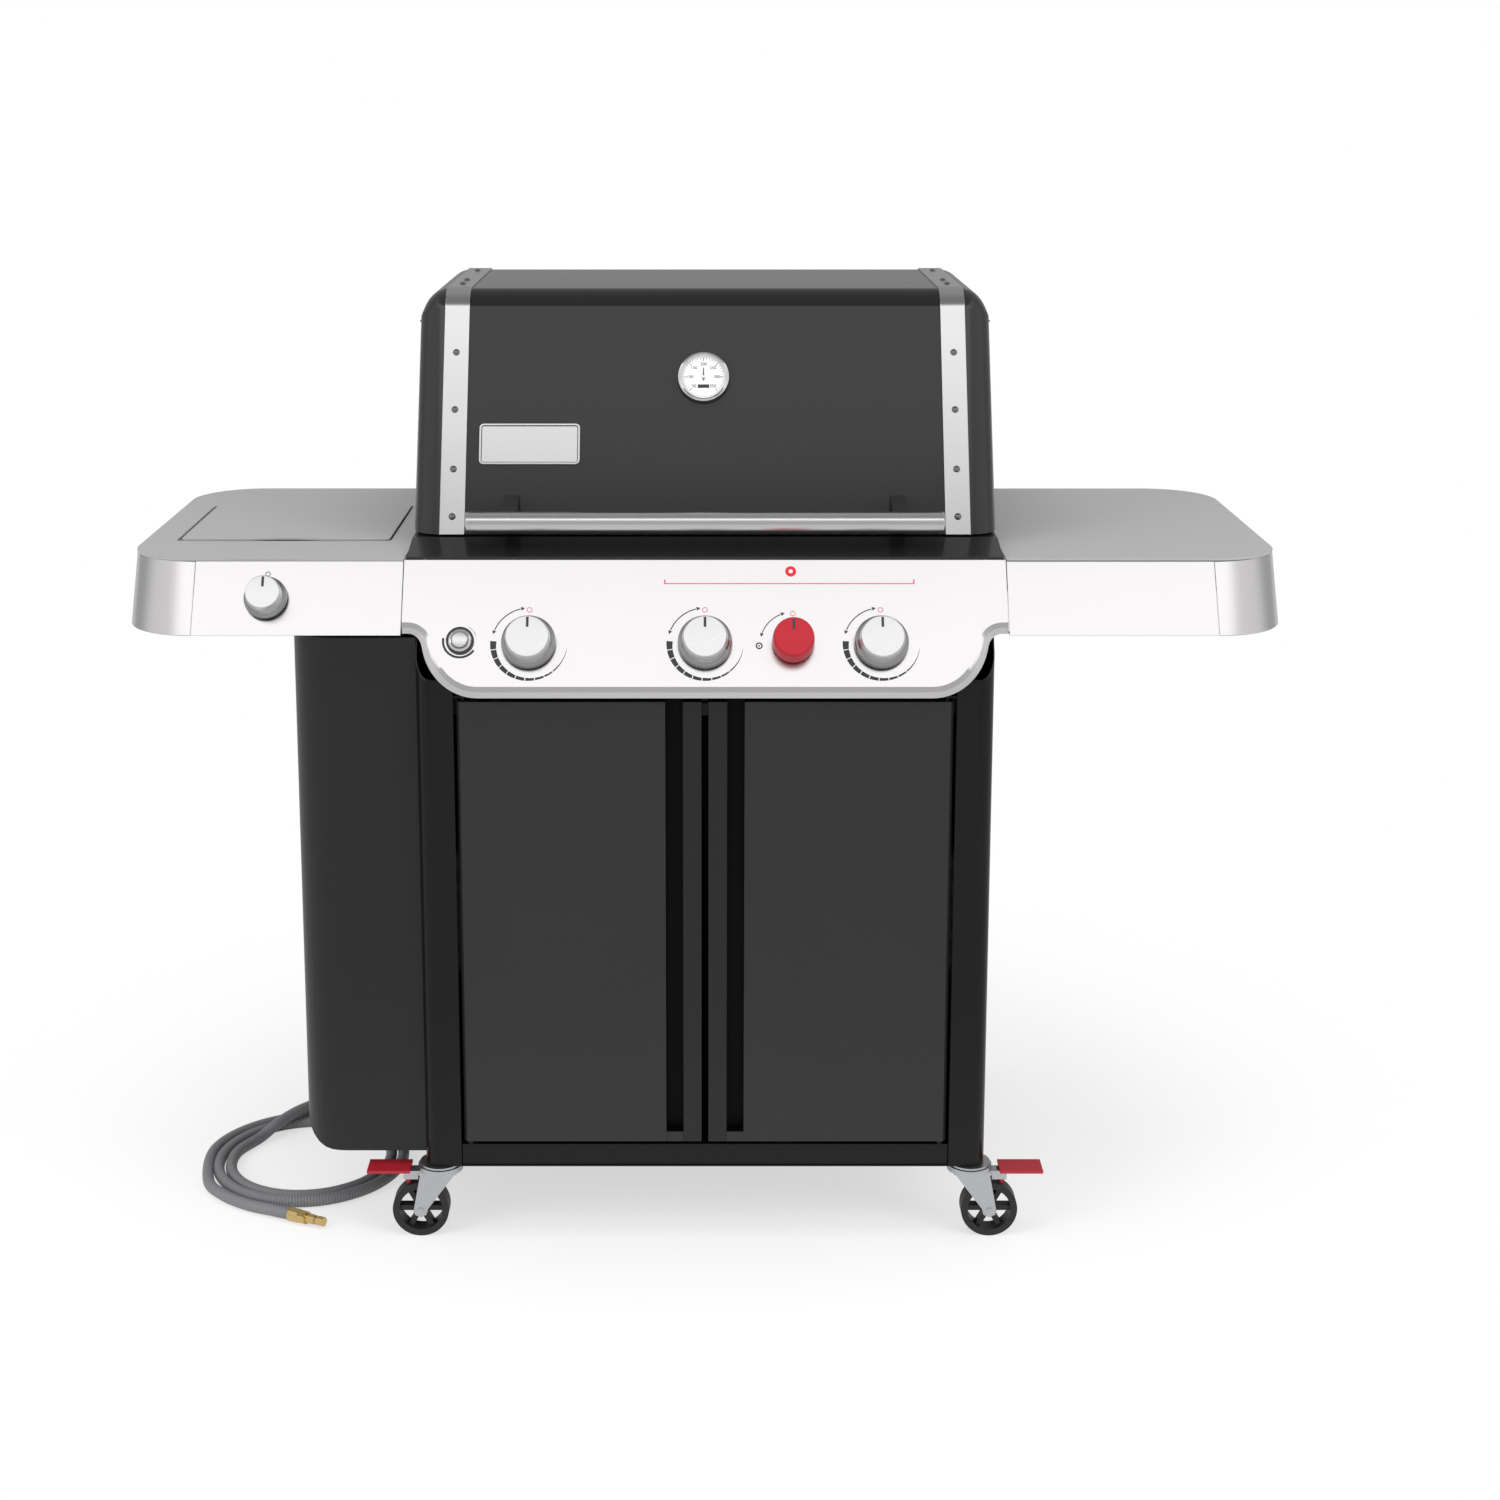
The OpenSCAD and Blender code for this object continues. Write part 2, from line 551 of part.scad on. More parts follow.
// hinge knuckle on the inside of each end casting, round the cooking box's pin
module lid_knuckle() difference() {
    union() {
        translate([lid_x - 48, hinge_y, hinge_z]) rotate([0, 90, 0]) cylinder(d = 13, h = 45);
        box(lid_x - 48, lid_x - 4, hinge_y + 3, y_back - 3, hinge_z - 3, hinge_z + 6);
    }
    translate([lid_x - 70, hinge_y, hinge_z]) rotate([0, 90, 0]) cylinder(d = 8 + 2 * run_fit, h = 50);
}
module lid_trims() color(STEEL) both() difference() {
    along_x(322, 356) polygon(concat([for (p = lid_outline(-2)) p]));
    along_x(320, 358) polygon(concat([for (p = lid_outline(0)) p]));
    box(320, 360, 200, 400, lid_z - 5, lid_top - 41);
}
module lid_rivets() color(STEEL) both() {
    for (h = [22, 82, 158, 232]) on_lid(338, h) translate([0, 0, 2.1]) cylinder(d1 = 9, d2 = 5, h = 2);
    for (y = [60, 240]) translate([338, y, lid_top + 1.9]) cylinder(d1 = 9, d2 = 5, h = 1.5);
}
handle_y = -223;
handle_z = lid_z + 24;
module handle_bar() color(STEEL) translate([-311, handle_y, handle_z]) rotate([0, 90, 0]) difference() {
    cylinder(d = handle_d, h = 622);
    translate([0, 0, 3]) cylinder(d = handle_d - 4, h = 616);
}
module handle_mounts() color([0.1, 0.1, 0.1]) both() difference() {
    hull() {
        translate([249, handle_y + 6, handle_z]) rotate([0, 90, 0]) cylinder(d = handle_d - 10, h = 20, $fn = 32);
        on_lid(259, 36) translate([-10, -14, 0]) cube([20, 28, 1]);
    }
    translate([248, handle_y, handle_z]) rotate([0, 90, 0]) cylinder(d = handle_d, h = 22);
}
module thermometer() color(STEEL) on_lid(-2, 199) {
    cylinder(d = thermo_d, h = 6);
    translate([0, 0, 6]) cylinder(d1 = thermo_d, d2 = thermo_d - 6, h = 3);
    translate([0, 0, -8]) cylinder(d = 12, h = 8);
    translate([0, 0, -70]) cylinder(d = 5, h = 62);
}
module badge_plate() color(STEEL) on_lid(-237, 114) {
    linear_extrude(2) rbox2(-68, 68, -28.5, 28.5, 5);
    for (x = [-50, 50]) translate([x, 0, 0]) cylinder(d = 4, h = 1);
}
rack_y = y_back - 16;
rack_z = lid_z + 120;
module warming_rack() color(STEEL) {
    translate([-352, rack_y, rack_z]) rotate([0, 90, 0]) cylinder(d = 7, h = 704);
    translate([-330, rack_y - 170, rack_z]) rotate([0, 90, 0]) cylinder(d = 7, h = 660);
    for (x = [-315 : 35 : 315]) translate([x, rack_y - 170, rack_z]) rotate([-90, 0, 0]) cylinder(d = 4, h = 170);
}

// ---- grease tray, slides out at the back on the cabinet's rails
module grease_tray() color(STEEL) difference() {
    union() {
        box(-180, 180, -150, 276, tray_z, tray_z + 25);
        box(-60, 60, 275, -knob_front, tray_z + 21, tray_z + 24);
        box(-60, 60, -knob_front - 2, -knob_front, tray_z + 10, tray_z + 24);
    }
    box(-178.5, 178.5, -148.5, 274.5, tray_z + 1.5, tray_z + 40);
}

// ---- casters: plates fixed under the cabinet, forks turning on the plates' pins
module caster_plates() color(ZINC) for (m = [0, 1]) mirror([m, 0, 0]) for (y = [swivel_yf, swivel_yr])
    translate([swivel_x, y, 0]) {
        translate([0, 0, cab_z - 3]) cylinder(d = 56, h = 3);
        translate([0, 0, cab_z - 17]) cylinder(d = 10, h = 15);
        translate([0, 0, cab_z - 17.5]) cylinder(d = 15, h = 2.2);
    }
module fork() difference() {
    union() {
        translate([0, 0, cab_z - 11]) cylinder(d = 60, h = 7.5);
        for (y = [-wheel_w / 2 - 3.5, wheel_w / 2 + 1]) along_y(y, y + 2.5)
            polygon([[-22, cab_z - 11], [26, cab_z - 11], [trail + 9, wheel_d / 2 + 2], [trail + 8, wheel_d / 2 - 6],
                [trail, wheel_d / 2 - 10], [trail - 8, wheel_d / 2 - 6], [trail - 10, wheel_d / 2 + 2]]);
        box(-22, 26, -wheel_w / 2 - 3.5, wheel_w / 2 + 3.5, cab_z - 15, cab_z - 10);
        translate([trail, wheel_w / 2 + 5, wheel_d / 2]) rotate([90, 0, 0]) cylinder(d = 8, h = wheel_w + 10);
    }
    translate([0, 0, cab_z - 30]) cylinder(d = 10 + 2 * run_fit, h = 40);
}
// the braked fork carries the brake lever's pin on two lugs
brake_x = 45;
brake_z = cab_z - 19;
module braked_fork() {
    fork();
    box(20, 37, -9, 9, cab_z - 15, cab_z - 12);
    for (y = [-9, 6]) box(30, 50, y, y + 3, cab_z - 24, cab_z - 12);
    translate([brake_x, 7, brake_z]) rotate([90, 0, 0]) cylinder(d = 4, h = 14);
}
module wheel() translate([trail, wheel_w / 2, wheel_d / 2]) rotate([90, 0, 0]) difference() {
    union() {
        difference() {
            cylinder(d = wheel_d, h = wheel_w);
            translate([0, 0, -1]) cylinder(d = wheel_d - 18, h = wheel_w + 2);
        }
        cylinder(d = 20, h = wheel_w);
        for (a = [0 : 60 : 300]) rotate([0, 0, a]) box(8, wheel_d / 2 - 8, -3.5, 3.5, 5, wheel_w - 5);
    }
    translate([0, 0, -1]) cylinder(d = 8 + 2 * run_fit, h = wheel_w + 2);
}
module brake() difference() {
    union() {
        translate([brake_x, 5.5, brake_z]) rotate([90, 0, 0]) cylinder(d = 10, h = 11);
        box(41, 53, -5.5, 5.5, brake_z + 2, cab_z - 10);
        box(40, 98, -18, 18, cab_z - 11.5, cab_z - 7.5);
        translate([brake_x, 0, brake_z]) rotate([0, atan2(brake_x - trail, brake_z - wheel_d / 2), 0])
            box(-0.5, 5, -5.5, 5.5, wheel_d / 2 + 0.4 - norm([brake_x - trail, brake_z - wheel_d / 2]), 0);
    }
    translate([brake_x, 10, brake_z]) rotate([90, 0, 0]) cylinder(d = 4 + 2 * run_fit, h = 20);
}
module at_caster(s, y) translate([s * swivel_x, y, 0]) mirror([s < 0 ? 1 : 0, 0, 0]) children();
module fork_front_left() color(ZINC) at_caster(-1, swivel_yf) braked_fork();
module fork_front_right() color(ZINC) at_caster(1, swivel_yf) braked_fork();
module fork_rear_left() color(ZINC) at_caster(-1, swivel_yr) fork();
module fork_rear_right() color(ZINC) at_caster(1, swivel_yr) fork();
module wheel_front_left() color(BLACK) at_caster(-1, swivel_yf) wheel();
module wheel_front_right() color(BLACK) at_caster(1, swivel_yf) wheel();
module wheel_rear_left() color(BLACK) at_caster(-1, swivel_yr) wheel();
module wheel_rear_right() color(BLACK) at_caster(1, swivel_yr) wheel();
module brake_front_left() color([0.6, 0.05, 0.1]) at_caster(-1, swivel_yf) brake();
module brake_front_right() color([0.6, 0.05, 0.1]) at_caster(1, swivel_yf) brake();

// ---- gas hose: from the gland on the cabinet's back, down to the floor and round in flat coils to its plug
gland_x = -290;
gland_z = cab_z + 50;
module hose_gland() color([0.15, 0.15, 0.15]) translate([gland_x, 250, gland_z]) rotate([-90, 0, 0]) {
    cylinder(d = 20, h = 33);
    translate([0, 0, 20]) cylinder(d = 32, h = 6);
    translate([0, 0, 26]) cylinder(d1 = 26, d2 = 21, h = 8);
    translate([0, 0, 30]) difference() {
        cylinder(d = hose_d + 6, h = 9);
        translate([0, 0, 3.5]) cylinder(d = hose_d + 2, h = 6);
    }
}
plug_x = -569;
plug_y = -272;
plug_turn = -25;
module hose_plug() color([0.75, 0.6, 0.25]) translate([plug_x, plug_y, 10]) rotate([0, 90, plug_turn]) {
    cylinder(d = 18.5, h = 16);
    translate([0, 0, 16]) cylinder(d = 19.8, h = 12, $fn = 6);
    translate([0, 0, 28]) cylinder(d = 13, h = 14);
    translate([0, 0, 42]) cylinder(d = 9.5, h = 4);
    translate([0, 0, 46]) cylinder(d = 12.5, h = 10);
}
// coils lie side by side on the floor: each turn is a coil_step further in than the last
coil_step = 17.5;
function coil(t) = [-571 + (146 - coil_step * (215 - t) / 360) * cos(t),
    -100 + (148 - coil_step * (215 - t) / 360) * sin(t), 8.5];
route = concat([[plug_x - 0.5, plug_y + 0.2, 10], [plug_x - 21.8, plug_y + 10.1, 9.4], [-634, -242, 8.8],
    [-674, -211, 8.5], [-702, -168, 8.5]], [for (t = [170 : -30 : -580]) coil(t)],
    [[-632, -8, 20], [-609, 18, 26], [-584, 43, 28], [-552, 74, 30], [-516, 112, 38], [-480, 158, 54],
    [-454, 208, 76], [-441, 257, 98], [-429, 302, 112], [-396, 335, 126], [-351, 347, 138],
    [-320.5, 338.8, 147], [-298.2, 316.5, 152], [-292.1, 301.8, 153.6], [-290, 286, 154]]);
hose_rings = 92;
hose_sides = 10;
function spline(p, i, u) = let (a = p[max(i - 1, 0)], b = p[i], c = p[i + 1], d = p[min(i + 2, len(p) - 1)])
    0.5 * (2 * b + (c - a) * u + (2 * a - 5 * b + 4 * c - d) * u * u + (3 * b - a - 3 * c + d) * u * u * u);
function hose_at(t) = let (i = min(floor(t), len(route) - 2)) spline(route, i, t - i);
function unit(v) = v / norm(v);
function hose_ring(k) = let (n = len(route) - 1, t = n * k / hose_rings, c = hose_at(t),
    way = unit(hose_at(min(t + 0.05, n)) - hose_at(max(t - 0.05, 0))),
    side = unit(cross(way, [0, 0, 1])), up = cross(side, way))
    [for (j = [0 : hose_sides - 1]) c + hose_d / 2 * (cos(360 * j / hose_sides) * side
        + sin(360 * j / hose_sides) * up)];
module gas_hose() color([0.45, 0.45, 0.47]) polyhedron(
    points = [for (k = [0 : hose_rings]) each hose_ring(k)],
    faces = concat([[for (j = [0 : hose_sides - 1]) j]],
        [for (k = [0 : hose_rings - 1]) for (j = [0 : hose_sides - 1]) [k * hose_sides + j,
            (k + 1) * hose_sides + j, (k + 1) * hose_sides + (j + 1) % hose_sides,
            k * hose_sides + (j + 1) % hose_sides]],
        [[for (j = [0 : hose_sides - 1]) hose_rings * hose_sides + hose_sides - 1 - j]]));

bottom_panel();
side_panels();
back_panel();
front_frame();
tank_cover();
cookbox();
cooking_grates();
heat_bars();
burner_tubes();
gas_manifold();
gas_valves();
control_panel();
table_left();
table_right();
table_fascias();
table_ends();
table_brackets();
side_burner_bowl();
side_burner_head();
side_burner_grate();
igniter_module();
hose_gland();
gas_hose();
hose_plug();
lid_shell();
lid_end_left();
lid_end_right();
lid_trims();
lid_rivets();
handle_bar();
handle_mounts();
thermometer();
badge_plate();
warming_rack();
door_left();
door_right();
side_burner_lid();
grease_tray();
caster_plates();
stem_left();
stem_middle();
stem_right();
stem_sear();
stem_side();
knob_left();
knob_middle();
knob_right();
knob_sear();
knob_side();
igniter_button();
fork_front_left();
fork_front_right();
fork_rear_left();
fork_rear_right();
wheel_front_left();
wheel_front_right();
wheel_rear_left();
wheel_rear_right();
brake_front_left();
brake_front_right();
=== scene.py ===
import json
import math
import bmesh
import bpy
from mathutils import Matrix, Vector


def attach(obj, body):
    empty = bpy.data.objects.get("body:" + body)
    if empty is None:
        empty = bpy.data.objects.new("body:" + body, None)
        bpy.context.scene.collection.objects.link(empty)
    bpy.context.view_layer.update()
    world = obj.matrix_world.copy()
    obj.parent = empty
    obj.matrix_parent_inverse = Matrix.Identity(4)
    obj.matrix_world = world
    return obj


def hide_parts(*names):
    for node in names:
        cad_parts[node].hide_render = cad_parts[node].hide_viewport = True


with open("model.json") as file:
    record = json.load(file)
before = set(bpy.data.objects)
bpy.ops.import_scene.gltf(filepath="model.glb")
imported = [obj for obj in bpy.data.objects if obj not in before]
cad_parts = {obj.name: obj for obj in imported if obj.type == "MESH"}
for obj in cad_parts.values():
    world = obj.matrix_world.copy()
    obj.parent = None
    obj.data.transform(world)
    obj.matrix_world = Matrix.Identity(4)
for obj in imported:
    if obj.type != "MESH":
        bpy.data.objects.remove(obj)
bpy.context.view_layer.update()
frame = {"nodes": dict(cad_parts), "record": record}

# Camera: level with a standing cook's eyes, a few steps in front of the grill,
# looking slightly down, with a long lens so that the tables stay square.
scene = bpy.context.scene
lens = bpy.data.cameras.new("view_camera")
lens.sensor_width = 36
lens.lens = 57.6
lens.shift_x = 0.030
lens.shift_y = -0.160
camera = bpy.data.objects.new("view_camera", lens)
camera.location = (0, -3.333, 1.557)
camera.rotation_euler = (math.radians(79.53), 0, 0)
scene.collection.objects.link(camera)
scene.camera = camera
scene.view_settings.view_transform = "Standard"


def material(name, color, rough, metal=0.0, coat=0.0, coat_rough=0.05):
    """A Principled material with its constant values set; returns (material, nodes, links, bsdf)."""
    m = bpy.data.materials.new(name)
    m.use_nodes = True
    nodes, links = m.node_tree.nodes, m.node_tree.links
    bsdf = nodes["Principled BSDF"]
    bsdf.inputs["Base Color"].default_value = (*color, 1)
    bsdf.inputs["Roughness"].default_value = rough
    bsdf.inputs["Metallic"].default_value = metal
    bsdf.inputs["Coat Weight"].default_value = coat
    bsdf.inputs["Coat Roughness"].default_value = coat_rough
    return m, nodes, links, bsdf


def surface_grain():
    """Group: a stretched noise for colour, roughness and bump, for sheet metal, paint and castings."""
    g = bpy.data.node_groups.new("surface_grain", "ShaderNodeTree")
    for name, kind, value in (("Color", "NodeSocketColor", (0.5, 0.5, 0.5, 1)), ("Scale", "NodeSocketFloat", 200.0),
                              ("Stretch", "NodeSocketVector", (1, 1, 1)), ("Variation", "NodeSocketFloat", 0.08),
                              ("Roughness", "NodeSocketFloat", 0.4), ("Rough Range", "NodeSocketFloat", 0.08),
                              ("Bump", "NodeSocketFloat", 0.1)):
        s = g.interface.new_socket(name, in_out="INPUT", socket_type=kind)
        s.default_value = value
    for name, kind in (("Color", "NodeSocketColor"), ("Roughness", "NodeSocketFloat"), ("Normal", "NodeSocketVector")):
        g.interface.new_socket(name, in_out="OUTPUT", socket_type=kind)
    n, k = g.nodes, g.links
    gin, gout = n.new("NodeGroupInput"), n.new("NodeGroupOutput")
    place = n.new("ShaderNodeTexCoord")
    mul = n.new("ShaderNodeVectorMath")
    mul.operation = "MULTIPLY"
    k.new(place.outputs["Object"], mul.inputs[0])
    k.new(gin.outputs["Stretch"], mul.inputs[1])
    fine = n.new("ShaderNodeTexNoise")
    fine.inputs["Detail"].default_value = 3
    k.new(mul.outputs[0], fine.inputs["Vector"])
    k.new(gin.outputs["Scale"], fine.inputs["Scale"])
    wide = n.new("ShaderNodeTexNoise")
    wide.inputs["Scale"].default_value = 6
    wide.inputs["Detail"].default_value = 4
    k.new(place.outputs["Object"], wide.inputs["Vector"])
    # colour: base times 1 +- variation
    both = n.new("ShaderNodeMath")
    both.operation = "ADD"
    k.new(fine.outputs["Fac"], both.inputs[0])
    k.new(wide.outputs["Fac"], both.inputs[1])
    low = n.new("ShaderNodeMath")
    low.operation = "SUBTRACT"
    k.new(both.outputs[0], low.inputs[0])
    low.inputs[1].default_value = 1.0
    gain = n.new("ShaderNodeMath")
    gain.operation = "MULTIPLY_ADD"
    k.new(low.outputs[0], gain.inputs[0])
    k.new(gin.outputs["Variation"], gain.inputs[1])
    gain.inputs[2].default_value = 1.0
    tint = n.new("ShaderNodeVectorMath")
    tint.operation = "SCALE"
    k.new(gin.outputs["Color"], tint.inputs[0])
    k.new(gain.outputs[0], tint.inputs["Scale"])
    k.new(tint.outputs[0], gout.inputs["Color"])
    rough = n.new("ShaderNodeMath")
    rough.operation = "MULTIPLY_ADD"
    rough.use_clamp = True
    k.new(low.outputs[0], rough.inputs[0])
    k.new(gin.outputs["Rough Range"], rough.inputs[1])
    k.new(gin.outputs["Roughness"], rough.inputs[2])
    k.new(rough.outputs[0], gout.inputs["Roughness"])
    bump = n.new("ShaderNodeBump")
    bump.inputs["Distance"].default_value = 0.0004
    k.new(gin.outputs["Bump"], bump.inputs["Strength"])
    k.new(fine.outputs["Fac"], bump.inputs["Height"])
    k.new(bump.outputs[0], gout.inputs["Normal"])
    return g


GRAIN = surface_grain()


def grained(name, color, rough, metal=0.0, coat=0.0, scale=200, stretch=(1, 1, 1), variation=0.08,
            rough_range=0.08, bump=0.1, coat_rough=0.05):
    m, nodes, links, bsdf = material(name, color, rough, metal, coat, coat_rough)
    g = nodes.new("ShaderNodeGroup")
    g.node_tree = GRAIN
    g.inputs["Color"].default_value = (*color, 1)
    g.inputs["Scale"].default_value = scale
    g.inputs["Stretch"].default_value = stretch
    g.inputs["Variation"].default_value = variation
    g.inputs["Roughness"].default_value = rough
    g.inputs["Rough Range"].default_value = rough_range
    g.inputs["Bump"].default_value = bump
    links.new(g.outputs["Color"], bsdf.inputs["Base Color"])
    links.new(g.outputs["Roughness"], bsdf.inputs["Roughness"])
    links.new(g.outputs["Normal"], bsdf.inputs["Normal"])
    return m


# Gas hose: grey ribbed rubber, 3.05 m in all, lying in flat coils by the left caster,
# with a brass quick-connect plug on its free end and a moulded gland where it leaves the cabinet.
coil_step = 17.5


def coil(turn):
    """A point on the flat coil; each turn lies a coil_step further in than the last."""
    shrink = coil_step * (215 - turn) / 360
    return (-571 + (146 - shrink) * math.cos(math.radians(turn)), -100 + (148 - shrink) * math.sin(math.radians(turn)), 8.5)


hose_route = ([(-569.5, -271.8, 10), (-590.8, -261.9, 9.4), (-634, -242, 8.8), (-674, -211, 8.5), (-702, -168, 8.5)]
              + [coil(turn) for turn in range(170, -581, -30)]
              + [(-632, -8, 20), (-609, 18, 26), (-584, 43, 28), (-552, 74, 30), (-516, 112, 38), (-480, 158, 54),
                 (-454, 208, 76), (-441, 257, 98), (-429, 302, 112), (-396, 335, 126), (-351, 347, 138),
                 (-320.5, 338.8, 147), (-298.2, 316.5, 152), (-292.1, 301.8, 153.6), (-290, 286, 154)])
hose_points = [Vector(p) / 1000 for p in hose_route]


def hose_at(t):
    i = min(int(t), len(hose_points) - 2)
    u = t - i
    a, b = hose_points[max(i - 1, 0)], hose_points[i]
    c, d = hose_points[i + 1], hose_points[min(i + 2, len(hose_points) - 1)]
    return 0.5 * (2 * b + (c - a) * u + (2 * a - 5 * b + 4 * c - d) * u * u + (3 * b - a - 3 * c + d) * u ** 3)


hose_rings, hose_sides, hose_radius = 520, 20, 0.008
hose_path = [hose_at((len(hose_points) - 1) * k / hose_rings) for k in range(hose_rings + 1)]
hose_length = sum((b - a).length for a, b in zip(hose_path, hose_path[1:]))
print("hose length", round(hose_length, 3))
verts, faces = [], []
for k, c in enumerate(hose_path):
    way = (hose_path[min(k + 1, hose_rings)] - hose_path[max(k - 1, 0)]).normalized()
    side = way.cross(Vector((0, 0, 1))).normalized()
    up = side.cross(way)
    for j in range(hose_sides):
        a = 2 * math.pi * j / hose_sides
        verts.append(c + hose_radius * (math.cos(a) * side + math.sin(a) * up))
faces.append(list(range(hose_sides)))
faces.append([hose_rings * hose_sides + hose_sides - 1 - j for j in range(hose_sides)])
for k in range(hose_rings):
    for j in range(hose_sides):
        n = (j + 1) % hose_sides
        faces.append([k * hose_sides + j, (k + 1) * hose_sides + j, (k + 1) * hose_sides + n, k * hose_sides + n])
mesh = bpy.data.meshes.new("hose")
mesh.from_pydata(verts, [], faces)
uv = mesh.uv_layers.new(name="along")
for poly in mesh.polygons:
    for li in poly.loop_indices:
        v = mesh.loops[li].vertex_index
        uv.data[li].uv = (hose_length * (v // hose_sides) / hose_rings, (v % hose_sides) / hose_sides)
mesh.update()
hose = bpy.data.objects.new("hose", mesh)
scene.collection.objects.link(hose)
for p in mesh.polygons:
    p.use_smooth = len(p.vertices) == 4
hose_skin, nodes, links, bsdf = material("hose_rubber", (0.19, 0.19, 0.2), 0.45)
coord = nodes.new("ShaderNodeUVMap")
coord.uv_map = "along"
rib = nodes.new("ShaderNodeTexWave")
rib.inputs["Scale"].default_value = 95
rib.inputs["Distortion"].default_value = 0.0
links.new(coord.outputs[0], rib.inputs["Vector"])
# The rib colour is painted shade: darker in the grooves between the ribs, in step with the bump.
groove_shade_mix = nodes.new("ShaderNodeMix")
groove_shade_mix.data_type = "RGBA"
groove_shade_mix.inputs["A"].default_value = (0.15, 0.15, 0.16, 1)
groove_shade_mix.inputs["B"].default_value = (0.24, 0.24, 0.25, 1)
links.new(rib.outputs["Fac"], groove_shade_mix.inputs["Factor"])
links.new(groove_shade_mix.outputs["Result"], bsdf.inputs["Base Color"])
bump = nodes.new("ShaderNodeBump")
bump.inputs["Strength"].default_value = 0.4
bump.inputs["Distance"].default_value = 0.0006
links.new(rib.outputs["Fac"], bump.inputs["Height"])
links.new(bump.outputs[0], bsdf.inputs["Normal"])
mesh.materials.append(hose_skin)
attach(hose, "grill")
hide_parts("gas_hose")

# Paints and metals of the sheet parts, each with its own grain.
BLACK_COAT = grained("black_powder_coat", (0.015, 0.015, 0.0155), 0.30, scale=700, variation=0.15, bump=0.05)
CAST_BLACK = grained("black_cast_enamel", (0.013, 0.013, 0.0135), 0.2, scale=300, variation=0.1, bump=0.06, coat=0.3)
ENAMEL = grained("black_enamel", (0.012, 0.012, 0.013), 0.09, scale=40, variation=0.1, rough_range=0.03, bump=0.02)
STAINLESS = grained("brushed_stainless", (0.84, 0.82, 0.83), 0.26, metal=1.0, scale=60, stretch=(1, 30, 30),
                    variation=0.04, rough_range=0.03, bump=0.02)
CHROME = grained("bright_chrome", (0.9, 0.9, 0.91), 0.1, metal=1.0, scale=200, variation=0.02, rough_range=0.04, bump=0.01)
IRON = grained("cast_iron", (0.03, 0.03, 0.03), 0.6, scale=500, variation=0.3, bump=0.4)
ZINC = grained("zinc_plate", (0.62, 0.63, 0.65), 0.35, metal=1.0, scale=120, variation=0.12, bump=0.08)
BRASS = grained("turned_brass", (0.8, 0.58, 0.25), 0.25, metal=1.0, scale=150, variation=0.08, bump=0.05)
TABLE = grained("grey_table_enamel", (0.36, 0.36, 0.365), 0.34, scale=700, variation=0.03, bump=0.015)
ALUMINIUM = grained("aluminised_sheet", (0.6, 0.6, 0.6), 0.4, metal=1.0, scale=150, variation=0.15, bump=0.08)
PLASTIC = grained("black_plastic", (0.02, 0.02, 0.02), 0.4, scale=600, variation=0.1, bump=0.1)
KNOB = grained("satin_knob", (0.8, 0.79, 0.8), 0.28, metal=0.9, scale=400, variation=0.03, rough_range=0.03, bump=0.008)
RED_KNOB = grained("red_knob", (0.40, 0.003, 0.014), 0.35, scale=400, variation=0.05, bump=0.01, coat=0.05)
TYRE = grained("black_wheel", (0.012, 0.012, 0.013), 0.45, scale=400, variation=0.15, bump=0.15)
RED_PEDAL = grained("red_pedal", (0.38, 0.012, 0.025), 0.45, scale=500, variation=0.1, bump=0.15)
finish_of = {"cabinet_black": BLACK_COAT, "cast_black": CAST_BLACK, "enamel_black": ENAMEL, "stainless": STAINLESS,
             "chrome": CHROME, "iron": IRON, "zinc": ZINC, "brass": BRASS, "table_grey": TABLE,
             "aluminised": ALUMINIUM, "black_plastic": PLASTIC, "knob_silver": KNOB, "knob_red": RED_KNOB,
             "wheel_black": TYRE, "brake_red": RED_PEDAL, "hose_grey": hose_skin}
for row in frame["record"]["subparts"]:
    o = frame["nodes"][row["node"]]
    o.data.materials.clear()
    o.data.materials.append(finish_of[row["material_slot"]])

# Helpers in a maker's order: select, lathe, fold a profile, copy a plain part with its edges eased.
def only(o):
    bpy.ops.object.select_all(action="DESELECT")
    o.select_set(True)
    bpy.context.view_layer.objects.active = o


def skeleton(name, points, edges=None, faces=()):
    m = bpy.data.meshes.new(name)
    m.from_pydata(points, edges if edges is not None else [(i, i + 1) for i in range(len(points) - 1)], faces)
    o = bpy.data.objects.new(name, m)
    scene.collection.objects.link(o)
    only(o)
    return o


def in_edit(*steps):
    bpy.ops.object.mode_set(mode="EDIT")
    bpy.ops.mesh.select_all(action="SELECT")
    for step in steps:
        step()
    bpy.ops.object.mode_set(mode="OBJECT")


def merge_and_face_out():
    bpy.ops.mesh.select_all(action="SELECT")
    bpy.ops.mesh.remove_doubles(threshold=1e-6)
    bpy.ops.mesh.normals_make_consistent(inside=False)


def lathe(name, profile, steps=64, place=Matrix()):
    """Spins a (radius, height) profile round Z, then puts it in place."""
    o = skeleton(name, [(r, 0, h) for r, h in profile])
    in_edit(lambda: bpy.ops.mesh.spin(steps=steps, angle=2 * math.pi, center=(0, 0, 0), axis=(0, 0, 1)),
            merge_and_face_out)
    o.data.transform(place)
    return o


def fold(name, profile, x0, x1):
    """A sheet folded along a (y, z) profile from x0 to x1."""
    o = skeleton(name, [(x0, y, z) for y, z in profile])
    in_edit(lambda: bpy.ops.mesh.extrude_region_move(TRANSFORM_OT_translate={"value": (x1 - x0, 0, 0)}))
    return o


def modify(o, kind, **values):
    only(o)
    m = o.modifiers.new(kind, kind)
    for k, v in values.items():
        setattr(m, k, v)
    bpy.ops.object.modifier_apply(modifier=m.name)


def ease(o, width, segments=2, angle=35):
    modify(o, "BEVEL", width=width, segments=segments, limit_method="ANGLE", angle_limit=math.radians(angle))


